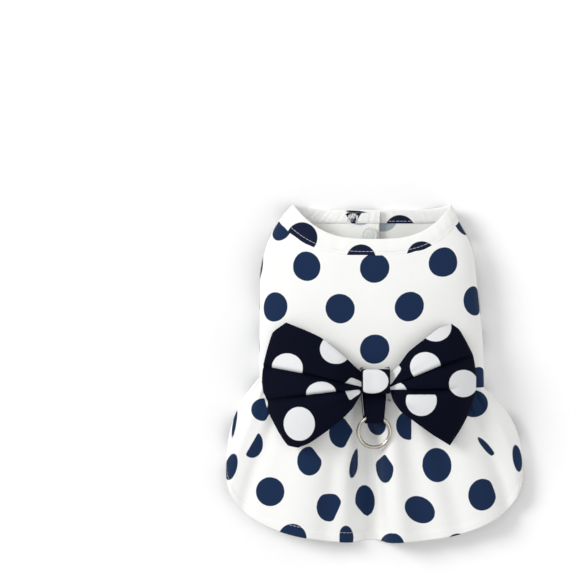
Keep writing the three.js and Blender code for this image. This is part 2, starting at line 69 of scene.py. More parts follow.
# The pattern's sizes, as the solids have them
CHEST_WIDTH = 156.0
CHEST_DEPTH = 37.0
SIDE_DEPTH = 12.0
ROLL_WIDTH = 26.0
BODY_LENGTH = 124.5
FULLNESS = 2.3
WAIST_DIP = 5.5
WAIST_SKEW = 3.5
NECK_DROP = 24.0
NECK_CURVE = 2.7
BELLY_NECK_DROP = 3.5
BINDING_WIDTH = 12.0
LEG_HOLE_LENGTH = 52.0
LEG_HOLE_FROM_NECK = 49.0
SIDE_SEAM = 1.12
LEG_HOLE_UP = 0.08
LEG_HOLE_DOWN = 0.95
CLOTH = 1.0
GAP = 0.3
PLACKET_X = -3.5
PLACKET_OVERLAP = 18.0
PLACKET_RISE = 26.0
PLACKET_LEFT = 2.957  # where the upper layer's free edge lies round the body
SNAP_RADIUS = 6.0
SNAP_CAP = 1.1
SNAP_STUD = 0.9
SNAP_HUB = 4.6
OUTER_LIFT = SNAP_CAP + GAP
INNER_LIFT = OUTER_LIFT + CLOTH + 2 * GAP + 3 * SNAP_STUD

SKIRT_WIDTH = 208.0
SKIRT_SIDE = 62.0
HEM_DROP = 51.0
HEM_FULLNESS = 2.4
SKIRT_FLARE = 2.6
HEM_HEIGHT = 15.0
HEM_SIDE_HEIGHT = 7.0
SKIRT_PUFF = 3.5
FOLD_DEPTH = 8.0
GATHERS = 13
GATHER_DEPTH = 1.1
SKIRT_END = 2.5
SKIRT_END_LENGTH = 9.0
HEM_STITCH = 7.0

BOW_X = 1.0
BOW_Y = 1.3
BOW_CLOTH = 1.2
WING_LENGTH = 75.0
WING_HEIGHT = 86.0
WING_LOFT = 14.0
WING_FOLD = 4.0
PINCH_DEPTH = 4.4
PLEAT_DEPTH = 6.0
KNOT_X = 0.45
KNOT_Y = 0.9
KNOT_WIDTH = 20.0
KNOT_HEIGHT = 17.2
KNOT_DEPTH = 10.5
KNOT_CLOTH = 1.2
PINCH_OUT = 0.13

LOOP_X = -0.6
LOOP_TURN = 3.05
RING_RADIUS = 11.1
WIRE_RADIUS = 1.3

WEAVE_SPACING = 0.5
TOPSTITCH_PAUSE = 0.15
TOPSTITCH_THREAD = 0.85  # of the thread's radius, since it is pulled in
SEAM_LEVELS = (0.24, 0.34)  # share of the binding below its seam, on the back and on the belly
STEP = 1e-3  # of a surface's measures, for its slopes
SIDES = ((-1, "left"), (1, "right"))

# Half widths of the body as shares of half the chest, and its height as a share of its depth
BODY_SECTIONS = table(
    "at left right height",
    (0.0, 1.035, 0.985, 0.8),
    (0.25, 1.035, 0.975, 0.93),
    (0.45, 1.03, 0.943, 1.0),
    (0.6, 1.027, 0.918, 1.0),
    (0.7, 1.0, 0.9, 0.98),
    (0.8, 0.952, 0.856, 0.94),
    (0.88, 0.885, 0.785, 0.9),
    (0.94, 0.815, 0.735, 0.86),
    (1.0, 0.73, 0.69, 0.8),
)

# Folds of the skirt: where each runs at the waist and at the hem, how wide it is and how deep
SKIRT_FOLDS = table(
    "waist hem width depth",
    (-0.7, -0.86, 0.07, 0.3),
    (-0.5, -0.66, 0.06, -0.4),
    (-0.28, -0.3, 0.12, 0.4),
    (-0.16, -0.16, 0.045, -0.25),
    (-0.05, -0.02, 0.052, -1.2),
    (0.06, 0.075, 0.05, 0.45),
    (0.13, 0.19, 0.05, -0.13),
    (0.2, 0.27, 0.05, 0.12),
    (0.27, 0.36, 0.05, -0.2),
    (0.42, 0.5, 0.12, 0.35),
    (0.56, 0.68, 0.06, -0.35),
    (0.75, 0.86, 0.07, 0.25),
)

# Each wing from above: its two edges from the knot outwards, its end from below upwards, and its pleats
WINGS = [
    {
        "name": "bow_left", "side": -1,
        "upper": table(
            "at x y",
            (0.0, 0.25, 7.3), (0.14, -8.6, 7.5), (0.2, -12.2, 9.4), (0.31, -19.1, 15.8),
            (0.6, -37.1, 30.9), (0.8, -49.6, 36.9), (1.0, -61.7, 41.6),
        ),
        "lower": table(
            "at x y",
            (0.0, 0.25, -4.7), (0.14, -8.2, -5.2), (0.2, -11.2, -10.4), (0.3, -16.0, -17.9),
            (0.43, -23.3, -25.2), (0.64, -33.9, -33.7), (0.86, -45.8, -41.9), (1.0, -53.5, -45.0),
        ),
        "end": table(
            "at x y",
            (0.0, -53.5, -45.0), (0.07, -60.6, -43.4), (0.18, -67.0, -34.3), (0.31, -73.2, -22.2),
            (0.42, -76.6, -12.0), (0.53, -78.5, 0.4), (0.66, -77.4, 13.0), (0.88, -71.2, 34.4),
            (1.0, -61.7, 41.6),
        ),
        "pleats": [
            {"until": 1.0, "path": table(
                "x y",
                (-80.0, 11.8), (-71.5, 10.7), (-49.9, 6.6), (-22.2, 0.4), (-9.9, -2.7), (0.0, -3.0),
            )},
            {"until": 0.95, "path": table(
                "x y",
                (-80.0, -12.6), (-74.0, -11.9), (-48.1, -8.4), (-27.1, -5.8), (-11.7, -5.0), (0.0, -4.4),
            )},
        ],
    },
    {
        "name": "bow_right", "side": 1,
        "upper": table(
            "at x y",
            (0.0, 1.75, 7.3), (0.17, 10.8, 7.6), (0.22, 13.4, 8.8), (0.28, 16.4, 11.6), (0.42, 23.4, 21.3),
            (0.65, 35.3, 31.0), (0.84, 44.4, 38.0), (1.0, 53.2, 40.6),
        ),
        "lower": table(
            "at x y",
            (0.0, 1.75, -4.7), (0.17, 10.3, -5.4), (0.22, 12.6, -12.0), (0.33, 17.8, -19.6),
            (0.48, 25.5, -25.4), (0.75, 39.4, -35.7), (1.0, 51.9, -43.6),
        ),
        "end": table(
            "at x y",
            (0.0, 51.9, -43.6), (0.15, 60.0, -31.4), (0.27, 65.5, -20.8), (0.42, 70.0, -7.8),
            (0.58, 70.3, 6.6), (0.72, 68.2, 18.9), (0.83, 63.6, 28.2), (0.94, 58.4, 36.8),
            (1.0, 53.2, 40.6),
        ),
        "pleats": [
            {"until": 0.9, "path": table(
                "x y",
                (0.0, -2.4), (11.4, -2.8), (25.1, 3.6), (45.7, 12.2), (68.1, 19.7), (75.0, 22.0),
            )},
            {"until": 0.62, "path": table(
                "x y",
                (0.0, -4.4), (10.7, -4.9), (50.6, -4.2), (70.2, -1.4), (75.0, -1.0),
            )},
        ],
    },
]

# The print: dots on a staggered lattice, cut in straight rows that sag a little where the cloth is eased
DOT_RADIUS = 10.3
DOT_PITCH = 48.4
DOT_ROW = 28.3
DOT_START = (-0.2, 79.9)
NO_DOT = 99.0  # starts a search for the nearest dot
PLAIN = 9.0  # the print's distance on cloth that shows no dot
BELLY_DOT_STARTS = {"left": (-10.0, 120.3), "right": (6.2, 115.9)}


class Dot(typing.NamedTuple):
    """A dot as it shows from above: its middle, half width, half height and lean to the left in degrees.

    A fold hides what lies beyond a cut, given as a direction in degrees and a distance from the middle.
    """

    x: float
    y: float
    wide: float
    high: float
    lean: float = 0
    cuts: tuple = ()
    pleats: tuple = (0, 1, 2)


SKIRT_DOTS = [
    Dot(-77.9, -19.2, 8.6, 8.0, cuts=((-29, 5.1),)),
    Dot(-98.2, -29.0, 1.3, 10.0, -9),
    Dot(-85.8, -43.3, 7.6, 9.8, cuts=((150, 0.3),)),
    Dot(-100.6, -59.5, 4.2, 9.6, -14),
    Dot(-73.2, -76.7, 10.0, 10.2),
    Dot(-45.7, -55.0, 8.6, 10.2, cuts=((37, 7.3),)),
    Dot(-31.8, -87.4, 8.9, 10.3, cuts=((90, 9.4), (-24, 6.6))),
    Dot(-23.2, -35.2, 8.8, 10.6, cuts=((-27, 6.5), (35, 7.5))),
    Dot(-13.9, -56.7, 3.2, 10.8, -13, cuts=((0, 2.3),)),
    Dot(-6.6, -83.5, 6.9, 11.2, 4, cuts=((220, 6.9),)),
    Dot(7.0, -58.5, 6.1, 12.0, 2, cuts=((136, 5.9), (35, 4.9))),
    Dot(1.2, -28.6, 6.4, 8.6, 12),
    Dot(24.2, -30.0, 9.4, 10.3, cuts=((0, 1.4),)),
    Dot(43.5, -57.9, 10.2, 12.1, 8),
    Dot(31.6, -89.3, 11.4, 8.8, -34),
    Dot(12.5, -114.1, 8.2, 8.4),
    Dot(-20.1, -109.8, 5.4, 9.2, cuts=((180, 4.6),)),
    Dot(-57.6, -109.2, 9.9, 10.0),
    Dot(75.4, -78.8, 9.9, 11.2, -4, cuts=((20, 9.0),)),
    Dot(69.2, -15.0, 10.2, 9.5),
    Dot(78.4, -45.6, 2.2, 9.4, 41, cuts=((-60, 7.4),)),
    Dot(100.2, -53.5, 3.3, 9.6, 9),
    Dot(58.3, -116.4, 9.0, 10.2),
]
WING_DOTS = {
    "bow_left": [
        Dot(-61.0, 10.4, 10.7, 10.0, pleats=(0,)), Dot(-27.6, 23.3, 10.9, 10.2, pleats=(0,)),
        Dot(-37.6, -7.4, 10.4, 8.0, pleats=(1,)), Dot(-52.7, -28.5, 10.7, 11.7, pleats=(2,)),
        Dot(-16.0, -2.0, 6.9, 6.6, cuts=((69, 5.0), (130, 5.1)), pleats=(0,)),
        Dot(-16.0, -8.0, 6.2, 4.6, cuts=((-56, 2.6), (205, 3.8)), pleats=(2,)),
        Dot(-77.8, -11.0, 2.0, 7.0, 22, pleats=(1, 2)),
    ],
    "bow_right": [
        Dot(34.9, 11.2, 10.5, 10.0, pleats=(0,)), Dot(61.3, -0.6, 10.2, 9.4, pleats=(1, 2)),
        Dot(32.1, -12.2, 10.5, 10.6, cuts=((90, 3.8),), pleats=(2,)),
        Dot(42.0, 38.8, 11.0, 10.2, pleats=(0,)),
        Dot(13.2, 5.4, 5.0, 7.4, -26, cuts=((-35, 2.3),), pleats=(0,)),
        Dot(12.0, -5.4, 10.2, 6.2, pleats=(1,)),
    ],
}
BINDING_DOTS = [Dot(-50.9, 101.2, 10.8, 10.8), Dot(-9.6, 86.2, 10.3, 10.3), Dot(32.8, 88.3, 10.5, 10.3)]
BINDING_INSIDE_DOTS = [
    Dot(18.0, 106.4, 10.9, 10.9, cuts=((180, 9.6),)),
    Dot(-14.2, 113.6, 8.4, 7.4, cuts=((216, 2.7), (-31, 1.8), (90, 5.2))),
    Dot(-12.8, 119.6, 7.6, 0.8, -4),
]
KNOT_DOT = Dot(-2.0, 1.2, 11.3, 8.7, cuts=((180, 6.4),))

# The pattern starts at the waist seam, and the solids' frame starts this far from it
ORIGIN_Y = BOW_Y - sum(corner.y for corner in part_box("bow_knot")) / 2 / MM


def srgb(code):
    """A hex colour as linear red, green and blue."""
    parts = [int(code[i:i + 2], 16) / 255 for i in (1, 3, 5)]
    return tuple(c / 12.92 if c <= 0.04045 else ((c + 0.055) / 1.055) ** 2.4 for c in parts)


def mix(a, b, t):
    return a + (b - a) * t


def smooth(x):
    x = np.clip(x, 0, 1)
    return x * x * (3 - 2 * x)


def signed_power(x, power):
    return np.sign(x) * np.abs(x) ** power


def along(rows, column, at):
    """A table's column between its rows, on the smooth curve through them."""
    places = np.array([row["at"] for row in rows])
    values = np.array([row[column] for row in rows])
    last = len(rows) - 1
    after = np.minimum(np.arange(last + 1) + 1, last)
    before = np.maximum(np.arange(last + 1) - 1, 0)
    slopes = (values[after] - values[before]) / (places[after] - places[before])
    low = np.clip(np.searchsorted(places, at) - 1, 0, last - 1)
    span = places[low + 1] - places[low]
    t = np.clip((at - places[low]) / span, 0, 1)
    return (
        mix(values[low], values[low + 1], smooth(t))
        + span * (slopes[low] * t * (1 - t) ** 2 - slopes[low + 1] * t * t * (1 - t))
    )


def place(points):
    """Points of the pattern's frame, in millimetres, moved to the solids' frame, in metres."""
    return (np.asarray(points, dtype=float) - (0.0, ORIGIN_Y, 0.0)) * MM


# The dress's surfaces


def belly_lift(side, x):
    near = PLACKET_OVERLAP / 2 + 2
    share = 1 - smooth((np.abs(x - PLACKET_X) - near) / PLACKET_RISE)
    return share * np.where(side > 0, OUTER_LIFT, INNER_LIFT)


def body_y(around, up):
    q = np.abs(around)
    sine = np.sin(np.minimum(q, 1) * math.pi / 2)
    neck = BODY_LENGTH - NECK_DROP * (1 - sine ** NECK_CURVE) - BELLY_NECK_DROP * smooth(q - 1)
    skew = WAIST_SKEW * np.where(q > 1, (3 - q) / 2, sine) * np.sign(around)
    return mix(-WAIST_DIP * (1 - sine * sine) - skew, neck, up)


def body_point(around, up):
    """The body's outer face. Around is 0 in the middle of the back, 1 at the side and 3 at the closure."""
    around, up = np.broadcast_arrays(np.asarray(around, float), np.asarray(up, float))
    side = np.where(around < 0, -1.0, 1.0)
    q = np.abs(around)
    left, right = along(BODY_SECTIONS, "left", up), along(BODY_SECTIONS, "right", up)
    half = CHEST_WIDTH / 2 * np.where(side < 0, left, right)
    top = CHEST_DEPTH * along(BODY_SECTIONS, "height", up)
    angle = np.minimum(q, 1) * math.pi / 2
    rise = np.abs(np.cos(angle)) ** (2 / FULLNESS)
    x_back = side * half * np.sin(angle) ** (2 / FULLNESS)
    roll = np.clip(q - 1, 0, 1) * math.pi / 2
    x_roll = side * (half - ROLL_WIDTH * (1 - np.cos(roll)))
    x_flat = mix(side * (half - ROLL_WIDTH), PLACKET_X - side * PLACKET_OVERLAP / 2, np.clip(q - 2, 0, 1))
    x = np.where(q <= 1, x_back, np.where(q <= 2, x_roll, x_flat))
    z = np.where(
        q <= 1, mix(SIDE_DEPTH, top, rise),
        np.where(q <= 2, SIDE_DEPTH * (1 - np.sin(roll)), belly_lift(side, x)),
    )
    return np.stack([x, body_y(around, up), z], axis=-1)


PANEL_LENGTH = BODY_LENGTH - BINDING_WIDTH
LEG_HOLE_AT = 1 - (LEG_HOLE_FROM_NECK - BINDING_WIDTH) / PANEL_LENGTH
LEG_HOLE_HALF = LEG_HOLE_LENGTH / 2 / PANEL_LENGTH


def leg_hole(up):
    return np.sqrt(np.maximum(0, 1 - ((up - LEG_HOLE_AT) / LEG_HOLE_HALF) ** 2))


def binding_start(around):
    return 1 - BINDING_WIDTH / (body_y(around, 1.0) - body_y(around, 0.0))


def belly_share(around):
    """0 on the back and 1 on the belly, with a soft change behind the neck's corners."""
    return smooth((np.abs(around) - 1) / 0.25)


def panel_point(around, up):
    """A place on a panel, whose upper edge is tucked a little way into the neck binding."""
    length = body_y(around, 1.0) - body_y(around, 0.0)
    return body_point(around, up * (binding_start(around) + (1.2 + 2.4 * belly_share(around)) / length))


def fine_folds(x, y, seed, size):
    """Soft unevenness of pressed cloth, from a few slow waves, in millimetres."""
    waves = np.random.default_rng(seed).uniform(-1, 1, (7, 4))
    total = np.zeros_like(x)
    for across, up, phase, weight in waves:
        total += weight * np.sin((across * x + up * y) / size + 9 * phase)
    return total / 4


def skirt_folds(around, down):
    height = np.zeros_like(around)
    for fold in SKIRT_FOLDS:
        middle = mix(fold["waist"], fold["hem"], down)
        width = fold["width"] * mix(0.8, 1.1, down)
        height += fold["depth"] * np.exp(-(((around - middle) / width) ** 2))
    return FOLD_DEPTH * height * mix(0.35, 1, smooth(down / 0.55))


def skirt_point(around, down):
    """The skirt's outer face. Down runs from the waist seam (0) to the hem (1)."""
    around, down = np.broadcast_arrays(np.asarray(around, float), np.asarray(down, float))
    side = np.where(around < 0, -1.0, 1.0)
    q = np.abs(around)
    start = body_point(around, 0.0)
    half = CHEST_WIDTH / 2 * np.where(side < 0, BODY_SECTIONS[0]["left"], BODY_SECTIONS[0]["right"])
    flare = 1 - (1 - down) ** mix(1, SKIRT_FLARE, np.minimum(q, 1) ** 2)
    side_height = mix(SIDE_DEPTH, HEM_SIDE_HEIGHT, down)
    side_x = mix(half, SKIRT_WIDTH / 2, 1 - (1 - down) ** SKIRT_FLARE)
    waist_y = start[..., 1] - GAP
    angle = np.minimum(q, 1) * math.pi / 2
    sine, cosine = np.sin(angle), np.abs(np.cos(angle))
    hem_x = side * SKIRT_WIDTH / 2 * sine ** (2 / HEM_FULLNESS)
    hem_y = -SKIRT_SIDE - HEM_DROP * cosine ** (2 / HEM_FULLNESS)
    middle = mix(CHEST_DEPTH * BODY_SECTIONS[0]["height"], HEM_HEIGHT, down)
    middle = middle + SKIRT_PUFF * np.sin(math.pi * down)
    calm = 1 - np.minimum(q, 1) ** 6
    gather = GATHER_DEPTH * np.cos(GATHERS * angle * 2) * (1 - smooth(down / 0.3)) * smooth(down / 0.04)
    height = mix(side_height, middle, cosine ** (2 / FULLNESS)) + calm * (skirt_folds(around, down) + gather)
    back = np.stack([
        mix(start[..., 0], hem_x, flare), mix(waist_y, hem_y, down), np.maximum(height, CLOTH + GAP),
    ], axis=-1)
    under = smooth((q - 1) / (SKIRT_END - 1))
    length = mix(SKIRT_SIDE, SKIRT_END_LENGTH, under)
    roll = np.where(q < 2, 1 - np.sin(np.clip(q - 1, 0, 1) * math.pi / 2), 0)
    inset = half - np.abs(start[..., 0])
    wrap = np.stack([side * (side_x - inset), mix(waist_y, -length, down), side_height * roll], axis=-1)
    return np.where((q <= 1)[..., None], back, wrap)


# Mesh code


def unit(vectors):
    return vectors / np.maximum(np.linalg.norm(vectors, axis=-1, keepdims=True), 1e-12)


def normals_of(points):
    """Unit normals of a grid of points, on the side from which rows go up and columns go right."""
    return unit(np.cross(np.gradient(points, axis=1), np.gradient(points, axis=0)))


def walked(points, axis):
    """Lengths from the start, along a path or along one axis of a grid."""
    lengths = np.linalg.norm(np.diff(points, axis=axis), axis=-1).cumsum(axis=axis)
    return np.concatenate([np.zeros_like(lengths.take([0], axis=axis)), lengths], axis=axis)


def cloth_map(points):
    """Lengths along the cloth from the middle column and first row, in metres: the weave's coordinates."""
    across = walked(points, 1)
    across -= across[:, points.shape[1] // 2, None]
    return np.stack([across, walked(points, 0)], axis=-1) * MM


def new_mesh(name, points, faces, materials, uv=None, ink=None):
    """An object from points in the pattern's frame, with the weave's coordinates and the print's distance."""
    mesh = bpy.data.meshes.new(name)
    mesh.from_pydata(place(points).reshape(-1, 3).tolist(), [], faces)
    if uv is not None:
        corners = np.empty(len(mesh.loops), dtype=np.int32)
        mesh.loops.foreach_get("vertex_index", corners)
        spots = np.asarray(uv, dtype=np.float32).reshape(-1, 2)
        mesh.uv_layers.new(name="cloth").data.foreach_set("uv", spots[corners].ravel())
    if ink is not None:
        values = np.asarray(ink, dtype=np.float32).ravel()
        mesh.attributes.new("print", "FLOAT", "POINT").data.foreach_set("value", values)
    for finish in materials:
        mesh.materials.append(finish)
    mesh.shade_smooth()
    made = bpy.data.objects.new(name, mesh)
    bpy.context.scene.collection.objects.link(made)
    return made


def grid_faces(rows, columns, loop_rows=False, loop_columns=False):
    index = np.arange(rows * columns).reshape(rows, columns)
    if loop_rows:
        index = np.concatenate([index, index[:1]], axis=0)
    if loop_columns:
        index = np.concatenate([index, index[:, :1]], axis=1)
    quads = np.stack([index[:-1, :-1], index[:-1, 1:], index[1:, 1:], index[1:, :-1]], axis=-1)
    return quads.reshape(-1, 4).tolist()


def thicken(made, thickness, offset=-1.0):
    """Gives a cloth its thickness, with its wrong side in its last material."""
    solid = made.modifiers.new("cloth thickness", "SOLIDIFY")
    solid.thickness = thickness
    solid.offset = offset
    solid.use_even_offset = False
    solid.material_offset = len(made.data.materials) - 1


def sheet_piece(name, points, materials, thickness, ink, offset=-1.0):
    """A cloth from a grid of points, with its thickness and its print."""
    made = new_mesh(name, points, grid_faces(*points.shape[:2]), materials, cloth_map(points), ink)
    thicken(made, thickness, offset)
    return made


def nearest_dot(points, dots):
    """Distance in millimetres from the nearest dot's edge, seen from above, below 0 inside it."""
    best = np.full(points.shape[:-1], NO_DOT)
    for dot in dots:
        x, y = points[..., 0] - dot.x, points[..., 1] - dot.y
        turn = math.radians(dot.lean)
        across, up = x * math.cos(turn) + y * math.sin(turn), y * math.cos(turn) - x * math.sin(turn)
        edge = (np.hypot(across / dot.wide, up / dot.high) - 1) * min(dot.wide, dot.high)
        for direction, distance in dot.cuts:
            turn = math.radians(direction)
            beyond = x * math.cos(turn) + y * math.sin(turn) - distance
            rounded = 0.3 * np.maximum(0, 1 - np.abs(edge - beyond) / 1.2) ** 2
            edge = np.maximum(edge, beyond) + rounded
        best = np.minimum(best, edge)
    return best


def lattice_dots(across, up, start=(0.0, 0.0)):
    """Distance in millimetres from the nearest dot's edge of the staggered print."""
    row = (up - start[1]) / DOT_ROW
    best = np.full(np.shape(across), NO_DOT)
    for nearby in (-1, 0, 1):
        line = np.round(row) + nearby
        column = (across - start[0]) / DOT_PITCH - np.where(line % 2 == 0, 0, 0.5)
        off = np.hypot((column - np.round(column)) * DOT_PITCH, (row - line) * DOT_ROW)
        best = np.minimum(best, off - DOT_RADIUS)
    return best


def rod(vertices, faces, middles, sideways, out, thick, sides=6):
    """Adds a round rod along a line of middles, with a radius at each and both ends closed."""
    base, count = len(vertices), len(middles)
    for k in range(count):
        for turn in np.arange(sides) * 2 * math.pi / sides:
            vertices.append(middles[k] + thick[k] * (math.cos(turn) * sideways[k] + math.sin(turn) * out[k]))
    for k in range(count - 1):
        for i in range(sides):
            a, b = base + k * sides + i, base + k * sides + (i + 1) % sides
            faces.append((a, a + sides, b + sides, b))
    faces.append(tuple(base + i for i in range(sides)))
    faces.append(tuple(base + (count - 1) * sides + i for i in reversed(range(sides))))


def stitches(name, lines, length, pause, radius):
    """Rows of stitches along lines of places and normals: short threads that dip in at both ends."""
    vertices, faces = [], []
    steps = np.linspace(0, 1, 6)
    swell = np.sin(math.pi * steps)
    for line in lines:
        travelled = walked(line[0], 0)
        for start in np.arange(0, travelled[-1] - length, length + pause):
            middles, out = (
                np.stack([np.interp(start + length * steps, travelled, row) for row in values.T], axis=1)
                for values in line
            )
            out = unit(out)
            sideways = np.cross(unit(middles[-1] - middles[0]), out)
            middles = middles + out * (radius * (1.9 * swell - 0.9))[:, None]
            rod(vertices, faces, middles, sideways, out, radius * (0.45 + 0.55 * swell))
    made = new_mesh(name, vertices, faces, [material("polyester thread, spun")])
    in_dress(made, "cotton_print")


def threads(name, paths, radius, finish="polyester thread, spun", slot="cotton_print", sides=6):
    """Threads that run along paths, with rounded ends."""
    vertices, faces = [], []
    for path in paths:
        path = np.asarray(path, float)
        ahead = unit(np.gradient(path, axis=0))
        rough = np.where(np.abs(ahead[:, 2:]) < 0.9, (0.0, 0.0, 1.0), (1.0, 0.0, 0.0))
        sideways = unit(np.cross(ahead, rough))
        thick = np.full(len(path), radius)
        thick[[0, -1]] /= 2
        rod(vertices, faces, path, sideways, np.cross(sideways, ahead), thick, sides)
    in_dress(new_mesh(name, vertices, faces, [material(finish)]), slot)


def height_on(trees, x, y):
    """The highest of these surfaces at a place seen from above, in millimetres."""
    start = Vector(place((x, y, 3 * CHEST_DEPTH)))
    hits = [tree.ray_cast(start, Vector((0, 0, -1)))[0] for tree in trees]
    return max([hit.z for hit in hits if hit is not None], default=0) / MM


def laid_on(path, pieces, lift):
    """A path's places from above, dropped onto the highest of these pieces, a little above its face."""
    graph = bpy.context.evaluated_depsgraph_get()
    trees = [BVHTree.FromObject(bpy.data.objects[name], graph) for name in pieces]
    return [(x, y, height_on(trees, x, y) + lift) for x, y in path]


def lathe(name, profile, middle, finish, sides=48):
    """A turned piece from (radius, height) pairs, which start and end on its axis."""
    rings = len(profile) - 2
    vertices = [
        (middle[0] + radius * math.cos(turn), middle[1] + radius * math.sin(turn), height)
        for radius, height in profile[1:-1] for turn in np.arange(sides) * 2 * math.pi / sides
    ]
    vertices += [(*middle, profile[0][1]), (*middle, profile[-1][1])]
    faces = grid_faces(rings, sides, False, True)
    last = (rings - 1) * sides
    for i in range(sides):
        j = (i + 1) % sides
        faces += [(rings * sides, j, i), (last + i, last + j, rings * sides + 1)]
    return new_mesh(name, vertices, faces, [finish])


# Materials


def node(tree, kind, settings=None, inputs=None, links=()):
    """Adds a node with its settings, its inputs' values and the links into it."""
    made = tree.nodes.new(kind)
    for key, value in (settings or {}).items():
        setattr(made, key, value)
    for key, value in (inputs or {}).items():
        made.inputs[key].default_value = value
    for output, key in links:
        tree.links.new(output, made.inputs[key])
    return made


def new_material(name):
    made = bpy.data.materials.new(name)
    made.use_nodes = True
    made.node_tree.nodes.clear()
    return made, made.node_tree


def mottled(tree, colour, spacing, detail, darkest, lightest):
    """A colour that fine noise darkens and lightens, and the noise. Its spacing is in millimetres."""
    spot = node(tree, "ShaderNodeTexCoord")
    noise = node(tree, "ShaderNodeTexNoise", None, {"Scale": 1 / (spacing * MM), "Detail": detail},
                 [(spot.outputs["Object"], "Vector")])
    tone = node(tree, "ShaderNodeMapRange", None, {"To Min": darkest, "To Max": lightest},
                [(noise.outputs[0], 0)])
    shade = node(tree, "ShaderNodeVectorMath", {"operation": "SCALE"}, {0: colour},
                 [(tone.outputs[0], "Scale")])
    return shade.outputs[0], noise.outputs[0]


def woven(name, ground, ink, roughness=0.9, sheen=0.05, contrast=0.06, shine=0.15):
    """Plain-weave cotton with a printed dot. The weave gives a fine even grain and soft, matt light.

    The real thread spacing is about 0.3 mm. It is drawn at WEAVE_SPACING, so that it shows.
    """
    made, tree = new_material(name)
    cloth = node(tree, "ShaderNodeUVMap", {"uv_map": "cloth"})
    axes = node(tree, "ShaderNodeSeparateXYZ", links=[(cloth.outputs[0], 0)])
    turns = 2 * math.pi / (WEAVE_SPACING * MM)
    waves = []
    for axis in axes.outputs[:2]:
        phase = node(tree, "ShaderNodeMath", {"operation": "MULTIPLY"}, {1: turns}, [(axis, 0)])
        waves.append(node(tree, "ShaderNodeMath", {"operation": "SINE"}, links=[(phase.outputs[0], 0)]))
    weave = node(tree, "ShaderNodeMath", {"operation": "MULTIPLY"},
                 links=[(wave.outputs[0], k) for k, wave in enumerate(waves)])
    slub, cloudy = (
        node(tree, "ShaderNodeTexNoise", inputs={"Scale": 1 / (spacing * MM), "Detail": detail},
             links=[(cloth.outputs[0], "Vector")])
        for spacing, detail in ((2.5, 4.0), (38, 3.0))
    )
    distance = node(tree, "ShaderNodeAttribute", {"attribute_name": "print"})
    bleed = node(tree, "ShaderNodeMath", {"operation": "MULTIPLY_ADD"}, {1: 0.35, 2: -0.17},
                 [(slub.outputs[0], 0)])
    edge = node(tree, "ShaderNodeMath", {"operation": "ADD"},
                links=[(distance.outputs["Fac"], 0), (bleed.outputs[0], 1)])
    printed = node(tree, "ShaderNodeMapRange", {"interpolation_type": "SMOOTHSTEP"},
                   {"From Min": -0.22, "From Max": 0.22, "To Min": 1.0, "To Max": 0.0},
                   [(edge.outputs[0], 0)])
    colour = node(tree, "ShaderNodeMix", {"data_type": "RGBA"}, {6: (*ground, 1), 7: (*ink, 1)},
                  [(printed.outputs[0], 0)])
    grain = node(tree, "ShaderNodeMath", {"operation": "MULTIPLY_ADD"}, {1: contrast, 2: 1.0 - contrast / 2},
                 [(weave.outputs[0], 0)])
    cloud = node(tree, "ShaderNodeMapRange", None, {"To Min": 0.95, "To Max": 1.05}, [(cloudy.outputs[0], 0)])
    tone = node(tree, "ShaderNodeMath", {"operation": "MULTIPLY"},
                links=[(grain.outputs[0], 0), (cloud.outputs[0], 1)])
    shade = node(tree, "ShaderNodeVectorMath", {"operation": "SCALE"},
                 links=[(colour.outputs[2], 0), (tone.outputs[0], "Scale")])
    height = node(tree, "ShaderNodeMath", {"operation": "ADD"},
                  links=[(weave.outputs[0], 0), (slub.outputs[0], 1)])
    bump = node(tree, "ShaderNodeBump", None, {"Strength": 0.14, "Distance": 0.06 * MM},
                [(height.outputs[0], "Height")])
    shader = node(
        tree, "ShaderNodeBsdfPrincipled", None,
        {"Roughness": roughness, "IOR": 1.5, "Specular IOR Level": shine, "Sheen Weight": sheen,
         "Sheen Roughness": 0.5},
        [(shade.outputs[0], "Base Color"), (bump.outputs[0], "Normal")],
    )
    node(tree, "ShaderNodeOutputMaterial", links=[(shader.outputs[0], "Surface")])
    return made


def thread_material(name, colour):
    """Spun polyester sewing thread: two plies twisted together, which gives a fine twist and a low sheen."""
    made, tree = new_material(name)
    shade, twist = mottled(tree, colour, 0.5, 2.0, 0.85, 1.05)
    bump = node(tree, "ShaderNodeBump", None, {"Strength": 0.4, "Distance": 0.05 * MM}, [(twist, "Height")])
    shader = node(tree, "ShaderNodeBsdfPrincipled", None,
                  {"Roughness": 0.6, "IOR": 1.55, "Sheen Weight": 0.2},
                  [(shade, "Base Color"), (bump.outputs[0], "Normal")])
    node(tree, "ShaderNodeOutputMaterial", links=[(shader.outputs[0], "Surface")])
    return made


def snap_material(name, colour):
    """Injection-moulded acetal: translucent white, so light goes a little way in, with a soft satin gloss."""
    made, tree = new_material(name)
    shade, cloudy = mottled(tree, colour, 3, 3.0, 0.94, 1.03)
    rough = node(tree, "ShaderNodeMapRange", None, {"To Min": 0.28, "To Max": 0.42}, [(cloudy, 0)])
    shader = node(
        tree, "ShaderNodeBsdfPrincipled", None,
        {"IOR": 1.48, "Subsurface Weight": 0.35, "Subsurface Radius": (0.8, 0.9, 1.0),
         "Subsurface Scale": 1.2 * MM},
        [(shade, "Base Color"), (rough.outputs[0], "Roughness")],
    )
    node(tree, "ShaderNodeOutputMaterial", links=[(shader.outputs[0], "Surface")])
    return made


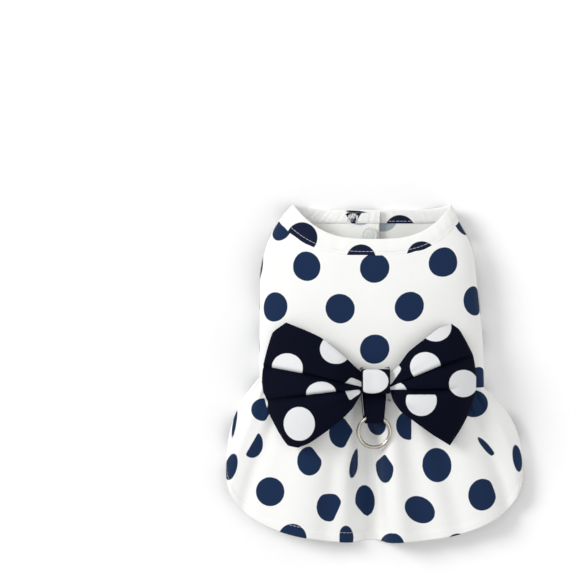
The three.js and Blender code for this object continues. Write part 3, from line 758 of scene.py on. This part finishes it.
def nickel_material(name, colour):
    """Drawn steel wire, welded and nickel-plated: a warm silver mirror, softened by fine drawing lines."""
    made, tree = new_material(name)
    shade, lines = mottled(tree, colour, 0.7, 5.0, 0.88, 1.04)
    rough = node(tree, "ShaderNodeMapRange", None, {"To Min": 0.14, "To Max": 0.3}, [(lines, 0)])
    bump = node(tree, "ShaderNodeBump", None, {"Strength": 0.15, "Distance": 0.03 * MM}, [(lines, "Height")])
    shader = node(tree, "ShaderNodeBsdfPrincipled", None, {"Metallic": 1.0},
                  [(shade, "Base Color"), (rough.outputs[0], "Roughness"), (bump.outputs[0], "Normal")])
    node(tree, "ShaderNodeOutputMaterial", links=[(shader.outputs[0], "Surface")])
    return made


class DressColours(bpy.types.PropertyGroup):
    """Colours of the cloth, the print and the fittings"""

    cotton: bpy.props.FloatVectorProperty(
        name="Cotton", description="Ground of the dress cloth", subtype="COLOR", default=srgb("#f4f4f2"))
    navy: bpy.props.FloatVectorProperty(
        name="Dots", description="Ink of the dots on the dress", subtype="COLOR", default=srgb("#162b4c"))
    binding_ink: bpy.props.FloatVectorProperty(
        name="Dots, binding", description="Dots of the neck binding, closer to black", subtype="COLOR",
        default=srgb("#111a35"))
    wrong_ink: bpy.props.FloatVectorProperty(
        name="Dots, wrong side", description="Dots as they show through on the wrong side", subtype="COLOR",
        default=srgb("#aab4be"))
    # painted light: the wrong side's ground is raised to near white, to lighten the shaded inside of the neck
    # opening
    wrong_ground: bpy.props.FloatVectorProperty(
        name="Cotton, wrong side", description="Ground of the cloth's wrong side", subtype="COLOR",
        default=srgb("#f5f5f2"))
    bow: bpy.props.FloatVectorProperty(
        name="Bow", description="Ground of the bow, its knot and the lead loop", subtype="COLOR",
        default=srgb("#080b1c"))
    bow_dots: bpy.props.FloatVectorProperty(
        name="Bow dots", description="Dots on the bow and its knot", subtype="COLOR", default=srgb("#e5e6e8"))
    thread: bpy.props.FloatVectorProperty(
        name="Thread", description="Sewing thread", subtype="COLOR", default=srgb("#f0f0ee"))
    snaps: bpy.props.FloatVectorProperty(
        name="Snaps", description="Plastic of the snaps", subtype="COLOR", default=srgb("#dfe1dd"))
    nickel: bpy.props.FloatVectorProperty(
        name="Ring", description="Plating of the lead ring", subtype="COLOR", default=srgb("#cfc8bb"))


class DressSizes(bpy.types.PropertyGroup):
    """Sizes of the cloth, the stitches and the thread that the solids leave open"""

    cloth: bpy.props.FloatProperty(
        name="Cloth", description="Thickness of the dress cloth", default=0.5 * MM, min=0.2 * MM, max=MM,
        unit="LENGTH", precision=5)
    bow_cloth: bpy.props.FloatProperty(
        name="Bow cloth", description="Thickness of the bow's doubled cloth", default=1.0 * MM, min=0.4 * MM,
        max=1.2 * MM, unit="LENGTH", precision=5)
    stitch: bpy.props.FloatProperty(
        name="Stitch", description="Length of a stitch", default=2.6 * MM, min=1.5 * MM, max=5 * MM,
        unit="LENGTH", precision=5)
    thread: bpy.props.FloatProperty(
        name="Thread", description="Radius of the sewing thread as drawn", default=0.17 * MM, min=0.1 * MM,
        max=0.5 * MM, unit="LENGTH", precision=5)


def colour(name):
    return tuple(getattr(bpy.context.scene.dress_colours, name))


def size(name):
    """One of the panel's lengths, in millimetres."""
    return getattr(bpy.context.scene.dress_sizes, name) / MM


def material(name):
    """One of the dress's finishes, made when it is first asked for."""
    if name in bpy.data.materials:
        return bpy.data.materials[name]
    makers = {
        "cotton poplin, printed": lambda: woven(name, colour("cotton"), colour("navy")),
        "cotton poplin, binding": lambda: woven(name, colour("cotton"), colour("binding_ink")),
        # the wrong side's ground carries painted light, raised to lighten the shaded inside of the neck
        # opening
        "cotton poplin, wrong side": lambda: woven(name, colour("wrong_ground"), colour("wrong_ink")),
        "cotton poplin, bow": lambda: woven(
            name, colour("bow"), colour("bow_dots"), sheen=0.0, contrast=0.1, roughness=0.85, shine=0.06),
        "polyester thread, spun": lambda: thread_material(name, colour("thread")),
        "polyester thread, navy": lambda: thread_material(name, colour("bow")),
        "acetal, moulded": lambda: snap_material(name, colour("snaps")),
        "nickel-plated wire": lambda: nickel_material(name, colour("nickel")),
    }
    return makers[name]()


def cotton():
    return [material("cotton poplin, printed"), material("cotton poplin, wrong side")]


def in_dress(piece, slot, *nodes):
    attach(piece, "dress")
    if nodes:
        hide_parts(*nodes)


def row_ease(x):
    """How far a row of dots is pulled towards the neck at a place across the back."""
    near = np.clip(x, -52, 52)
    return 0.0012 * near * near + 0.03 * x


def bodice_ink(points, around):
    """The bodice's print: rows across the back, and the same print round the sides and under the belly."""
    across = walked(points, 1)
    middle = np.abs(around).argmin(axis=1)
    across -= across[np.arange(len(across)), middle][:, None] + 2.4 * smooth((points[..., 0] - 35) / 20)
    return lattice_dots(across, points[..., 1] - row_ease(points[..., 0]), DOT_START)


class DRESS_OT_bodice(bpy.types.Operator):
    """Cuts and sews the bodice: the back, the two belly halves and their seams"""

    bl_idname = "dress.bodice"
    bl_label = "Bodice"

    def execute(self, context):
        cloth = size("cloth")
        up = np.linspace(0, 1, 110)
        hole = leg_hole(up)
        around = np.linspace(-1, 1, 231) * (SIDE_SEAM - LEG_HOLE_UP * hole)[:, None]
        grid = panel_point(around, up[:, None])
        grid += normals_of(grid) * (0.22 * fine_folds(grid[..., 0], grid[..., 1], 3, 17))[..., None]
        back = sheet_piece("bodice_back", grid, cotton(), cloth * MM, bodice_ink(grid, around))
        in_dress(back, "cotton_print", "back_panel")
        seams = []
        for side, label in SIDES:
            end = 3.0 if side > 0 else PLACKET_LEFT
            around = side * mix((SIDE_SEAM + LEG_HOLE_DOWN * hole)[:, None], end, np.linspace(0, 1, 110))
            if side < 0:
                around = around[:, ::-1]
            grid = panel_point(around, up[:, None])
            ink = lattice_dots(grid[..., 0], grid[..., 1], BELLY_DOT_STARTS[label])
            belly = sheet_piece(f"bodice_belly_{label}", grid, cotton(), cloth * MM, ink)
            in_dress(belly, "cotton_print", f"belly_panel_{label}")
            seam = grid[6:, 4 if side < 0 else -5] + (0, 0, cloth)
            seams.append((seam, np.tile((0.0, 0.0, 1.0), (len(seam), 1))))
        stitches("placket_stitches", seams, size("stitch"), 0.4, size("thread"))
        return {"FINISHED"}


# One turn of the overlock thread round a leg hole's edge: into the cloth, off its face and along the edge
LEG_THREAD = table(
    "inward out ahead",
    (2.6, 0.15, -0.5), (1.3, 0.25, 0.0), (0.0, 0.2, 0.3), (-0.55, -0.25, 0.45), (0.0, -0.75, 0.6),
    (1.3, -0.8, 0.8), (2.6, -0.7, 1.0),
)


class DRESS_OT_leg_edges(bpy.types.Operator):
    """Overlocks the edge of each leg hole: threads that loop round the cloth's raw edge"""

    bl_idname = "dress.leg_edges"
    bl_label = "Leg hole edges"

    def execute(self, context):
        turn = np.linspace(0, 2 * math.pi, 118, endpoint=False)
        up = LEG_HOLE_AT - LEG_HOLE_HALF * np.cos(turn)
        reach = np.where(np.sin(turn) >= 0, -LEG_HOLE_UP, LEG_HOLE_DOWN)
        for side, label in SIDES:
            around = side * (SIDE_SEAM + reach * np.abs(np.sin(turn)))
            middle = panel_point(around, up)
            across = panel_point(around + STEP, up) - panel_point(around - STEP, up)
            out = unit(np.cross(across, panel_point(around, up + STEP) - panel_point(around, up - STEP)))
            edge = unit(np.roll(middle, -1, axis=0) - np.roll(middle, 1, axis=0))
            inward = np.cross(out, edge)
            inward *= np.sign(((middle - middle.mean(axis=0)) * inward).sum(axis=1, keepdims=True))
            paths = np.stack([
                middle + inward * row["inward"] + out * row["out"] + edge * row["ahead"] for row in LEG_THREAD
            ], axis=1)
            paths[..., 2] = np.maximum(paths[..., 2], 0.3)
            threads(f"leg_edge_{label}", paths, 0.225, sides=5)
        up = np.linspace(LEG_HOLE_AT + LEG_HOLE_HALF, 0.97, 40)
        lines = [
            (panel_point(np.full_like(up, side), up), np.tile((side, 0.0, 0.0), (len(up), 1)))
            for side in (-1.0, 1.0)
        ]
        stitches("side_overlock", lines, 1.6, 0.7, 0.36)
        return {"FINISHED"}


def binding_ring(around, share, out):
    """Points of the neck binding. Share is across it from its lower edge, out the height off the cloth."""
    up = mix(binding_start(around), 1.0, share)
    across = body_point(around + STEP, up) - body_point(around - STEP, up)
    ahead = body_point(around, np.minimum(up + STEP, 1)) - body_point(around, up - STEP)
    normal = unit(np.cross(across, ahead))
    return body_point(around, up) + normal * out[..., None], normal


class DRESS_OT_neck_binding(bpy.types.Operator):
    """Folds the binding over the neck's edge and topstitches it"""

    bl_idname = "dress.neck_binding"
    bl_label = "Neck binding"

    def execute(self, context):
        sides, length = 28, 330
        turn = np.arange(sides) * 2 * math.pi / sides
        share = 0.5 - 0.5 * signed_power(np.cos(turn), 0.75)
        around = np.linspace(-PLACKET_LEFT, 3, length)
        a, s = np.meshgrid(around, share, indexing="ij")
        t = np.broadcast_to(-0.55 + 0.95 * signed_power(np.sin(turn), 0.55), a.shape)
        seam_at = mix(*SEAM_LEVELS, belly_share(a))
        s = mix(0.2 * belly_share(a), 1, s)
        pucker = 0.12 * np.sin(a * 61) * np.sin(math.pi * s) + 0.08 * np.sin(a * 37 + 1)
        seam = 0.35 * np.exp(-(((s - seam_at) / 0.05) ** 2))
        points, _ = binding_ring(a, s, t + np.where(t > -0.5, pucker - seam, -pucker))
        points[..., 2] = np.maximum(points[..., 2], 0.02)
        faces = grid_faces(length, sides, False, True)
        faces.append(tuple(range(sides)))
        faces.append(tuple(reversed(range((length - 1) * sides, length * sides))))
        uv = np.stack([walked(points, 0), s * BINDING_WIDTH + 20], axis=-1) * MM
        on_back, face = np.abs(a) < 1.05, t > -0.5
        ink = np.where(
            on_back, np.where(face, nearest_dot(points, BINDING_DOTS), PLAIN),
            np.where(face, lattice_dots(points[..., 0] + 7, points[..., 1] - 4),
                     nearest_dot(points, BINDING_INSIDE_DOTS)),
        )
        made = new_mesh("neck_band", points, faces, [material("cotton poplin, binding")], uv, ink)
        in_dress(made, "cotton_print", "neck_binding")
        path = np.linspace(-2.92, 2.96, 500)
        level = mix(*SEAM_LEVELS, belly_share(path))
        line, normal = binding_ring(path, level, np.full_like(path, 0.14))
        inner, back = binding_ring(path, level - 0.01, np.full_like(path, -1.42))
        stitches("neck_stitches", [(line, normal), (inner, -back)], size("stitch"), TOPSTITCH_PAUSE,
                 TOPSTITCH_THREAD * size("thread"))
        uneven = np.random.default_rng(12).uniform(-1, 1, (24, 3))
        loops = []
        for k, (lean, long, low) in enumerate(uneven):
            x = -19.0 + 7.6 * (k + 0.5) / len(uneven)
            y = 118.4 - 0.55 * abs(x + 15) + 0.8 * low
            reach = 2.2 + 1.3 * long + 1.2 * (k % 3)
            loop = [(x, y), (x + 0.5 * lean, y - 0.5 * reach), (x + 0.9 * lean, y - reach)]
            loops.append(laid_on(loop, ["neck_band", "bodice_belly_left"], 0.22))
        threads("placket_overlock", loops, 0.24)
        return {"FINISHED"}


def skirt_length(around):
    return np.linalg.norm(skirt_point(around, 1.0) - skirt_point(around, 0.0), axis=-1)


def skirt_surface(around, down):
    """The skirt with its fine gathers, and with its upper edge tucked under the bodice's."""
    points = skirt_point(around, np.clip(down, 0, 1))
    q = np.abs(around)
    fine = np.sin(around * 96 + 1.3 * np.sin(around * 11)) * np.exp(-((down - 0.07) / 0.12) ** 2)
    fine += 0.5 * np.sin(around * 61 + 2) * (1 - smooth(down / 0.42)) * smooth(down / 0.05)
    soft = fine_folds(points[..., 0], points[..., 1], 8, 14) * smooth(down / 0.2)
    off = around - mix(-0.03, -0.01, down)
    valley = np.exp(-np.abs(off / np.where(off < 0, 0.036, 0.03)) ** 2) * smooth(down / 0.3)
    shift = (0.38 * fine + 0.5 * soft - 7.6 * valley) * (1 - smooth((q - 1) / 0.4))
    in_from_edge = (1 - down) * skirt_length(around)
    hem = 0.3 * smooth((HEM_STITCH + 0.6 - in_from_edge) / 0.8)
    hem -= 0.25 * np.exp(-(((in_from_edge - HEM_STITCH) / 0.9) ** 2)) * (0.7 + 0.3 * np.sin(around * 170))
    points = points + normals_of(points) * (shift * (1 - 0.8 * smooth((q - 0.55) / 0.3)) + hem)[..., None]
    tucked = np.maximum(-down, 0)
    points[..., 1] += 40 * tucked
    points[..., 2] -= 22 * tucked + 0.25 * (1 - smooth(down / 0.03))
    points[..., 2] = np.maximum(points[..., 2], 0.0)
    return points


class DRESS_OT_skirt(bpy.types.Operator):
    """Gathers the skirt into the waist seam and hems it"""

    bl_idname = "dress.skirt"
    bl_label = "Skirt"

    def execute(self, context):
        down = np.concatenate([[-0.04, -0.02], np.linspace(0, 1, 100)])[::-1]
        around = np.concatenate([
            np.linspace(-SKIRT_END, -1, 60, endpoint=False), np.linspace(-1, 1, 330),
            np.linspace(1, SKIRT_END, 61)[1:],
        ])
        a, d = np.meshgrid(around, down)
        grid = skirt_surface(a, d)
        under = lattice_dots(grid[..., 0] - 20, grid[..., 1] + 6)
        ink = np.where(np.abs(a) > 1, under, nearest_dot(grid, SKIRT_DOTS))
        skirt = sheet_piece("skirt_cloth", grid, cotton(), size("cloth") * MM, ink)
        in_dress(skirt, "cotton_print", "skirt")
        level = 1 - HEM_STITCH / skirt_length(around)
        line, normal = (
            np.array([
                [np.interp(level[i], down[::-1], values[::-1, i, k]) for k in range(3)]
                for i in range(len(around))
            ])
            for values in (grid, normals_of(grid))
        )
        stitches("hem_stitches", [(line, normal)], size("stitch"), TOPSTITCH_PAUSE,
                 TOPSTITCH_THREAD * size("thread"))
        return {"FINISHED"}


def solid_tree(*names):
    """A search tree of the solids with these names, which the bow rests on."""
    vertices, faces = [], []
    for name in names:
        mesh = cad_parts[name].data
        base = len(vertices)
        vertices += [v.co.copy() for v in mesh.vertices]
        faces += [[base + i for i in polygon.vertices] for polygon in mesh.polygons]
    return BVHTree.FromPolygons(vertices, faces)


def bow_seat():
    """Heights of the line that the bow rests on: the highest points of the dress under it."""
    tree = solid_tree("back_panel", "skirt")
    rows = []
    for x in np.linspace(-WING_LENGTH, WING_LENGTH, 19):
        reach = mix(KNOT_HEIGHT / 2, WING_HEIGHT / 2, min(1.0, max(0.0, abs(x) - 8) / 45))
        places = BOW_Y - 3 + reach * np.linspace(-1, 1, 13)
        rows.append({"at": x, "z": max(height_on([tree], BOW_X + x, y) for y in places)})
    return rows


def edge_along(rows, axis, at):
    """A wing's edge, halfway between straight pieces and the smooth curve."""
    straight = np.interp(at, [row["at"] for row in rows], [row[axis] for row in rows])
    return mix(straight, along(rows, axis, at), 0.45)


def wing_plan(wing, share, out):
    """A wing's shape from above, between its edges and out to its end. Share runs from its lower edge up."""
    plan = []
    for axis in "xy":
        between = mix(*(edge_along(wing[edge], axis, out) for edge in ("lower", "upper")), share)
        straight = mix(*(wing[edge][-1][axis] for edge in ("lower", "upper")), share)
        plan.append(between + out * (edge_along(wing["end"], axis, share) - straight))
    return plan


def wing_point(wing, seat, share, turn):
    """A wing's middle surface, and how far each of its places lies below each pleat.

    Turn runs round the loop: out on the front to 0.5, and back on the rear.
    """
    angle = turn * 2 * math.pi
    sine = np.abs(np.sin(angle))
    out = (1 - np.cos(angle)) / 2
    h = 2 * share - 1
    free = smooth((out - PINCH_OUT) / 0.25)
    x, y = wing_plan(wing, share, out)
    bed = (KNOT_CLOTH + GAP) * (1 - free) + BOW_CLOTH / 2
    z = along(seat, "z", x - BOW_X) + 2 * GAP + bed + WING_FOLD * out * (1 - sine)
    lift = PINCH_DEPTH * (1 - out) + WING_LOFT * free * sine * (1 - 0.5 * h * h)
    folds = []
    for pleat in wing["pleats"]:
        path = pleat["path"]
        below = np.interp(x, [row["x"] for row in path], [row["y"] for row in path]) - y
        wide = np.where(below > 0, mix(1.4, 6.0, out), mix(0.5, 0.9, out))
        depth = PLEAT_DEPTH * free * sine ** 0.35 * (1 - smooth((out - pleat["until"]) / 0.25))
        lift -= depth * np.exp(-np.abs(below / wide))
        folds.append(below)
    fan = np.arctan2(y - BOW_Y + 3, np.abs(x - BOW_X) - 4)
    away = np.abs(x - BOW_X) - KNOT_WIDTH / 2
    ripple = 0.75 * np.sin(11 * fan + 1.1 * wing["side"]) * np.exp(-((away - 11) / 13) ** 2)
    ripple *= smooth((away - 1) / 5)
    ripple += 0.28 * np.sin(23 * fan + 2.0 * wing["side"]) * np.exp(-((away - 14) / 12) ** 2)
    ripple += 1.2 * fine_folds(x, y, 5 + wing["side"], 10) * smooth(away / 20)
    return np.stack([x, y, z + np.where(turn < 0.5, lift + ripple * free * sine ** 0.5, 0)], axis=-1), folds


# The threads that tack the bow to the dress, beside the knot, from above
BOW_TACKS = [
    [(-10.6, 9.0), (-9.9, 10.2), (-8.8, 10.3), (-8.2, 9.9)],
    [(7.2, 10.6), (8.6, 10.2), (9.4, 11.0), (10.2, 9.4)],
    [(9.0, -11.5), (9.8, -12.6), (11.0, -12.9), (10.2, -11.8)],
]


class DRESS_OT_bow(bpy.types.Operator):
    """Folds the bow's two wings, and ties them with the knot"""

    bl_idname = "dress.bow"
    bl_label = "Bow"

    def execute(self, context):
        seat = bow_seat()
        outs = np.concatenate([np.linspace(0, 0.3, 34, endpoint=False), np.linspace(0.3, 1, 66)])
        front = np.arccos(1 - 2 * outs) / (2 * math.pi)
        turns = np.concatenate([front, 1 - front[-2::-1]])
        for wing in WINGS:
            share, turn = np.meshgrid(np.linspace(0, 1, 150), turns)
            grid, folds = wing_point(wing, seat, share, turn)
            ink = np.full(share.shape, NO_DOT)
            for dot in WING_DOTS[wing["name"]]:
                edge = nearest_dot(grid, [dot])
                if dot.pleats[0] > 0:
                    edge = np.maximum(edge, -folds[dot.pleats[0] - 1])
                if dot.pleats[-1] < len(folds):
                    edge = np.maximum(edge, folds[dot.pleats[-1]])
                ink = np.where(turn <= 0.5, np.minimum(ink, edge), ink)
            ink = np.where(turn > 0.52, lattice_dots(grid[..., 0] + 12, grid[..., 1] - 9), ink)
            made = sheet_piece(wing["name"] + "_wing", grid, [material("cotton poplin, bow")],
                               size("bow_cloth") * MM, ink, offset=0.0)
            in_dress(made, "bow_print", wing["name"])
        self.knot()
        tacks = [laid_on(tack, ["bodice_back", "skirt_cloth"], 0.25) for tack in BOW_TACKS]
        threads("bow_tacks", tacks, 0.28, "polyester thread, navy", "bow_print")
        return {"FINISHED"}

    def knot(self):
        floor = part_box("bow_knot")[0].z / MM
        sides, across = 120, 70
        t, v = np.meshgrid(np.arange(sides) * 2 * math.pi / sides, np.linspace(-1, 1, across))
        edge = np.abs(v) ** 8
        crease = 0.22 * np.sin(5 * v + 1.5 * np.cos(t)) * np.clip(np.sin(t), 0, 1)
        power = np.where(np.sin(t) > 0, 0.42, 0.3)
        half_y = KNOT_HEIGHT / 2 * (1 - 0.03 * edge)
        half_z = KNOT_DEPTH / 2 * (1 - 0.06 * edge) + crease
        z = floor + KNOT_DEPTH / 2 + half_z * signed_power(np.sin(t), power)
        points = np.stack([
            KNOT_X + v * KNOT_WIDTH / 2,
            KNOT_Y + half_y * signed_power(np.cos(t), power),
            np.maximum(z, floor + 0.1),
        ], axis=-1)
        ink = np.where(np.sin(t) > 0.02, nearest_dot(points, [KNOT_DOT]), PLAIN)
        uv = np.stack([points[..., 0], t * 8], axis=-1) * MM
        made = new_mesh("bow_knot_band", points, grid_faces(across, sides, False, True),
                        [material("cotton poplin, bow")], uv, ink)
        thicken(made, size("bow_cloth") * MM)
        in_dress(made, "bow_print", "bow_knot")


class DRESS_OT_lead_loop(bpy.types.Operator):
    """Folds the lead loop round the ring and sews its edges"""

    bl_idname = "dress.lead_loop"
    bl_label = "Lead loop"

    def execute(self, context):
        low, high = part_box("leash_loop")
        outer = LOOP_TURN + CLOTH
        axis_y = low.y / MM + ORIGIN_Y + outer
        axis_z = low.z / MM + outer
        reach = high.y / MM + ORIGIN_Y - axis_y + 3.0
        middle = outer - CLOTH / 2
        line = [(axis_y + reach * (1 - t), axis_z - middle) for t in np.linspace(0, 1, 30, endpoint=False)]
        for turn in np.linspace(0, math.pi, 40):
            line.append((axis_y - middle * math.sin(turn), axis_z - middle * math.cos(turn)))
        for t in np.linspace(0, 1, 30)[1:]:
            drop = (2 * middle - CLOTH - 0.3) * float(smooth(t * 1.1)) * (0.75 + 0.25 * t)
            line.append((axis_y + reach * t, axis_z + middle - drop))
        line = np.array(line)
        w = np.linspace(-1, 1, 30)
        share = np.linspace(0, 1, len(line))
        half = np.interp(share, [0.0, 0.36, 0.6, 0.9, 1.0], [6.4, 5.9, 5.6, 7.8, 8.0])
        offset = np.interp(share, [0.0, 0.3, 0.36, 0.48, 0.6, 1.0], [-3.3, -1.8, -1.5, -0.2, 0.8, 0.45])
        x = LOOP_X + offset[:, None] + w * half[:, None]
        y, z = line[:, 0, None] + 0 * w, line[:, 1, None] + 0.1 * np.sin(w * 5)
        grid = np.stack([x, y, z], axis=-1)
        made = sheet_piece("lead_loop_cloth", grid, [material("cotton poplin, bow")], 0.8 * MM,
                           np.full(x.shape, PLAIN), offset=0.0)
        in_dress(made, "bow_print", "leash_loop")
        threads("lead_loop_selvage", [grid[1:29, 2] + (0, 0, 0.45)], 0.32, slot="bow_print")
        return {"FINISHED"}


class DRESS_OT_lead_ring(bpy.types.Operator):
    """Bends and welds the lead ring"""

    bl_idname = "dress.lead_ring"
    bl_label = "Lead ring"

    def execute(self, context):
        low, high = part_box("leash_ring")
        middle = (low + high) / 2 / MM
        tilt = math.asin(((high.z - low.z) / MM - 2 * WIRE_RADIUS) / (2 * RING_RADIUS))
        count, sides = 160, 24
        t, s = np.meshgrid(np.arange(count) * 2 * math.pi / count, np.arange(sides) * 2 * math.pi / sides,
                           indexing="ij")
        weld = 0.06 * np.exp(-((np.angle(np.exp(1j * (t - 2.4))) / 0.05) ** 2))
        wire = WIRE_RADIUS * (0.99 + weld)
        out = RING_RADIUS + wire * np.cos(s)
        flat, rise = out * np.sin(t), wire * np.sin(s)
        points = np.stack([
            out * np.cos(t) + middle.x,
            flat * math.cos(tilt) - rise * math.sin(tilt) + middle.y + ORIGIN_Y,
            flat * math.sin(tilt) + rise * math.cos(tilt) + middle.z,
        ], axis=-1)
        uv = np.stack([t * RING_RADIUS, s * WIRE_RADIUS], axis=-1) * MM
        made = new_mesh("lead_ring_wire", points, grid_faces(count, sides, True, True),
                        [material("nickel-plated wire")], uv)
        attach(made, "ring")
        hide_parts("leash_ring")
        return {"FINISHED"}


class DRESS_OT_snaps(bpy.types.Operator):
    """Sets the four snaps of the belly closure, fastened"""

    bl_idname = "dress.snaps"
    bl_label = "Snaps"

    def execute(self, context):
        for i in range(1, 5):
            for half, profile in (("outer", self.outer), ("inner", self.inner)):
                name = f"snap_{half}_{i}"
                low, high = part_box(name)
                middle = (PLACKET_X, (low.y + high.y) / 2 / MM + ORIGIN_Y)
                turned = profile(low.z / MM, high.z / MM)
                made = lathe(name + "_moulded", turned, middle, material("acetal, moulded"))
                in_dress(made, "snap_plastic", name)
        return {"FINISHED"}

    def cap(self, face, step):
        """The cap's rounded rim and shallow ringed face, from the rim inwards. Step is +1 up or -1 down."""
        r = SNAP_RADIUS
        return [
            (r * 0.97, face - step * SNAP_CAP), (r, face - step * 0.8), (r * 0.985, face - step * 0.45),
            (r * 0.93, face - step * 0.16), (r * 0.84, face), (r * 0.74, face - step * 0.04),
            (r * 0.7, face - step * 0.2), (r * 0.66, face - step * 0.2), (r * 0.62, face - step * 0.08),
            (r * 0.3, face - step * 0.02), (r * 0.1, face - step * 0.06),
        ]

    def outer(self, bottom, top):
        disc = top - 2 * SNAP_STUD
        return [(0, bottom + 0.07), *reversed(self.cap(bottom, -1))] + [
            (1.5, bottom + SNAP_CAP), (1.5, disc), (SNAP_HUB, disc), (SNAP_HUB, disc + 0.8),
            (2.1, disc + 0.9), (1.8, top), (0, top),
        ]

    def inner(self, bottom, top):
        roof = bottom + SNAP_STUD + GAP
        hub = top - SNAP_CAP - CLOTH - 2 * GAP
        return [
            (0, roof), (2.1, roof), (2.1, bottom + 0.1), (4.4, bottom), (SNAP_HUB, bottom + 0.2),
            (SNAP_HUB, hub), (1.5, hub), (1.5, top - SNAP_CAP),
        ] + self.cap(top, 1) + [(0, top - 0.07)]


# The studio's lights: where each shines from, how wide it is in degrees and how strong
LAMPS = table(
    "name x y z softness strength",
    ("window", -1.0, 0.5, 0.8, 26, 1.75),
    ("fill", 1.0, -0.3, 1.0, 50, 0.5),
    ("above", 0.0, 0.15, 1.0, 70, 0.4),
)

# The photograph's frame in pixels, the size of one pixel, and where the dress's middle is in it
FRAME_PIXELS = 576
PIXEL = 0.7 * MM
DRESS_AT = (374.7, 374.1)
CAMERA_HEIGHT = 4.0
BACK_HEIGHT = 22 * MM  # the level at which a pixel has that size


class DRESS_OT_stage(bpy.types.Operator):
    """Sets the pale floor, the soft lights and the camera above the dress"""

    bl_idname = "dress.stage"
    bl_label = "Stage"

    def execute(self, context):
        scene = context.scene
        mesh = bpy.data.meshes.new("floor")
        corners = [(-3.0, -3.0, 0), (3.0, -3.0, 0), (3.0, 3.0, 0), (-3.0, 3.0, 0)]
        mesh.from_pydata(corners, [], [(0, 1, 2, 3)])
        paper, tree = new_material("paper, white")
        fibre = node(tree, "ShaderNodeTexNoise", None, {"Scale": 900.0, "Detail": 2.0})
        tone = node(tree, "ShaderNodeMapRange", None, {"To Min": 0.95, "To Max": 0.97},
                    [(fibre.outputs[0], 0)])
        shader = node(tree, "ShaderNodeBsdfPrincipled", None, {"Roughness": 0.9, "Specular IOR Level": 0.1},
                      [(tone.outputs[0], "Base Color")])
        node(tree, "ShaderNodeOutputMaterial", links=[(shader.outputs[0], "Surface")])
        mesh.materials.append(paper)
        floor = bpy.data.objects.new("floor", mesh)
        floor.location.z = -0.2 * MM
        scene.collection.objects.link(floor)

        world = bpy.data.worlds.new("studio")
        scene.world = world
        world.use_nodes = True
        world.node_tree.nodes["Background"].inputs["Color"].default_value = (1, 1, 1, 1)
        world.node_tree.nodes["Background"].inputs["Strength"].default_value = 0.5
        for row in LAMPS:
            light = bpy.data.lights.new(row["name"], "SUN")
            light.angle = math.radians(row["softness"])
            light.energy = row["strength"]
            lamp = bpy.data.objects.new(row["name"], light)
            lamp.location = (row["x"], row["y"], row["z"])
            lamp.rotation_euler = (-lamp.location).to_track_quat("-Z", "Y").to_euler()
            scene.collection.objects.link(lamp)

        lens = bpy.data.cameras.new("camera")
        lens.sensor_width = 36
        lens.lens = lens.sensor_width * (CAMERA_HEIGHT - BACK_HEIGHT) / (FRAME_PIXELS * PIXEL)
        lens.clip_end = 20
        camera = bpy.data.objects.new("camera", lens)
        middle = FRAME_PIXELS / 2
        camera.location = ((middle - DRESS_AT[0]) * PIXEL, (DRESS_AT[1] - middle) * PIXEL, CAMERA_HEIGHT)
        scene.collection.objects.link(camera)
        scene.camera = camera
        scene.view_settings.view_transform = "Standard"
        return {"FINISHED"}


class DRESS_PT_panel(bpy.types.Panel):
    """Lists the dress's sizes, colours and steps"""

    bl_idname = "DRESS_PT_panel"
    bl_label = "Dog Dress"
    bl_space_type = "VIEW_3D"
    bl_region_type = "UI"
    bl_category = "Dog Dress"

    def draw(self, context):
        layout = self.layout
        for group in (context.scene.dress_sizes, context.scene.dress_colours):
            box = layout.box()
            for name in group.__annotations__:
                box.prop(group, name)
        for step in STEPS:
            layout.operator(step.bl_idname)


STEPS = (
    DRESS_OT_stage, DRESS_OT_bodice, DRESS_OT_leg_edges, DRESS_OT_neck_binding, DRESS_OT_skirt, DRESS_OT_bow,
    DRESS_OT_lead_loop, DRESS_OT_lead_ring, DRESS_OT_snaps,
)
CLASSES = (DressColours, DressSizes, *STEPS, DRESS_PT_panel)


def register():
    for made in CLASSES:
        bpy.utils.register_class(made)
    bpy.types.Scene.dress_colours = bpy.props.PointerProperty(type=DressColours)
    bpy.types.Scene.dress_sizes = bpy.props.PointerProperty(type=DressSizes)


def unregister():
    del bpy.types.Scene.dress_sizes
    del bpy.types.Scene.dress_colours
    for made in reversed(CLASSES):
        bpy.utils.unregister_class(made)


def main():
    register()
    bpy.ops.dress.stage()
    bpy.ops.dress.bodice()
    bpy.ops.dress.leg_edges()
    bpy.ops.dress.neck_binding()
    bpy.ops.dress.skirt()
    bpy.ops.dress.bow()
    bpy.ops.dress.lead_loop()
    bpy.ops.dress.lead_ring()
    bpy.ops.dress.snaps()


if __name__ == "__main__":
    main()
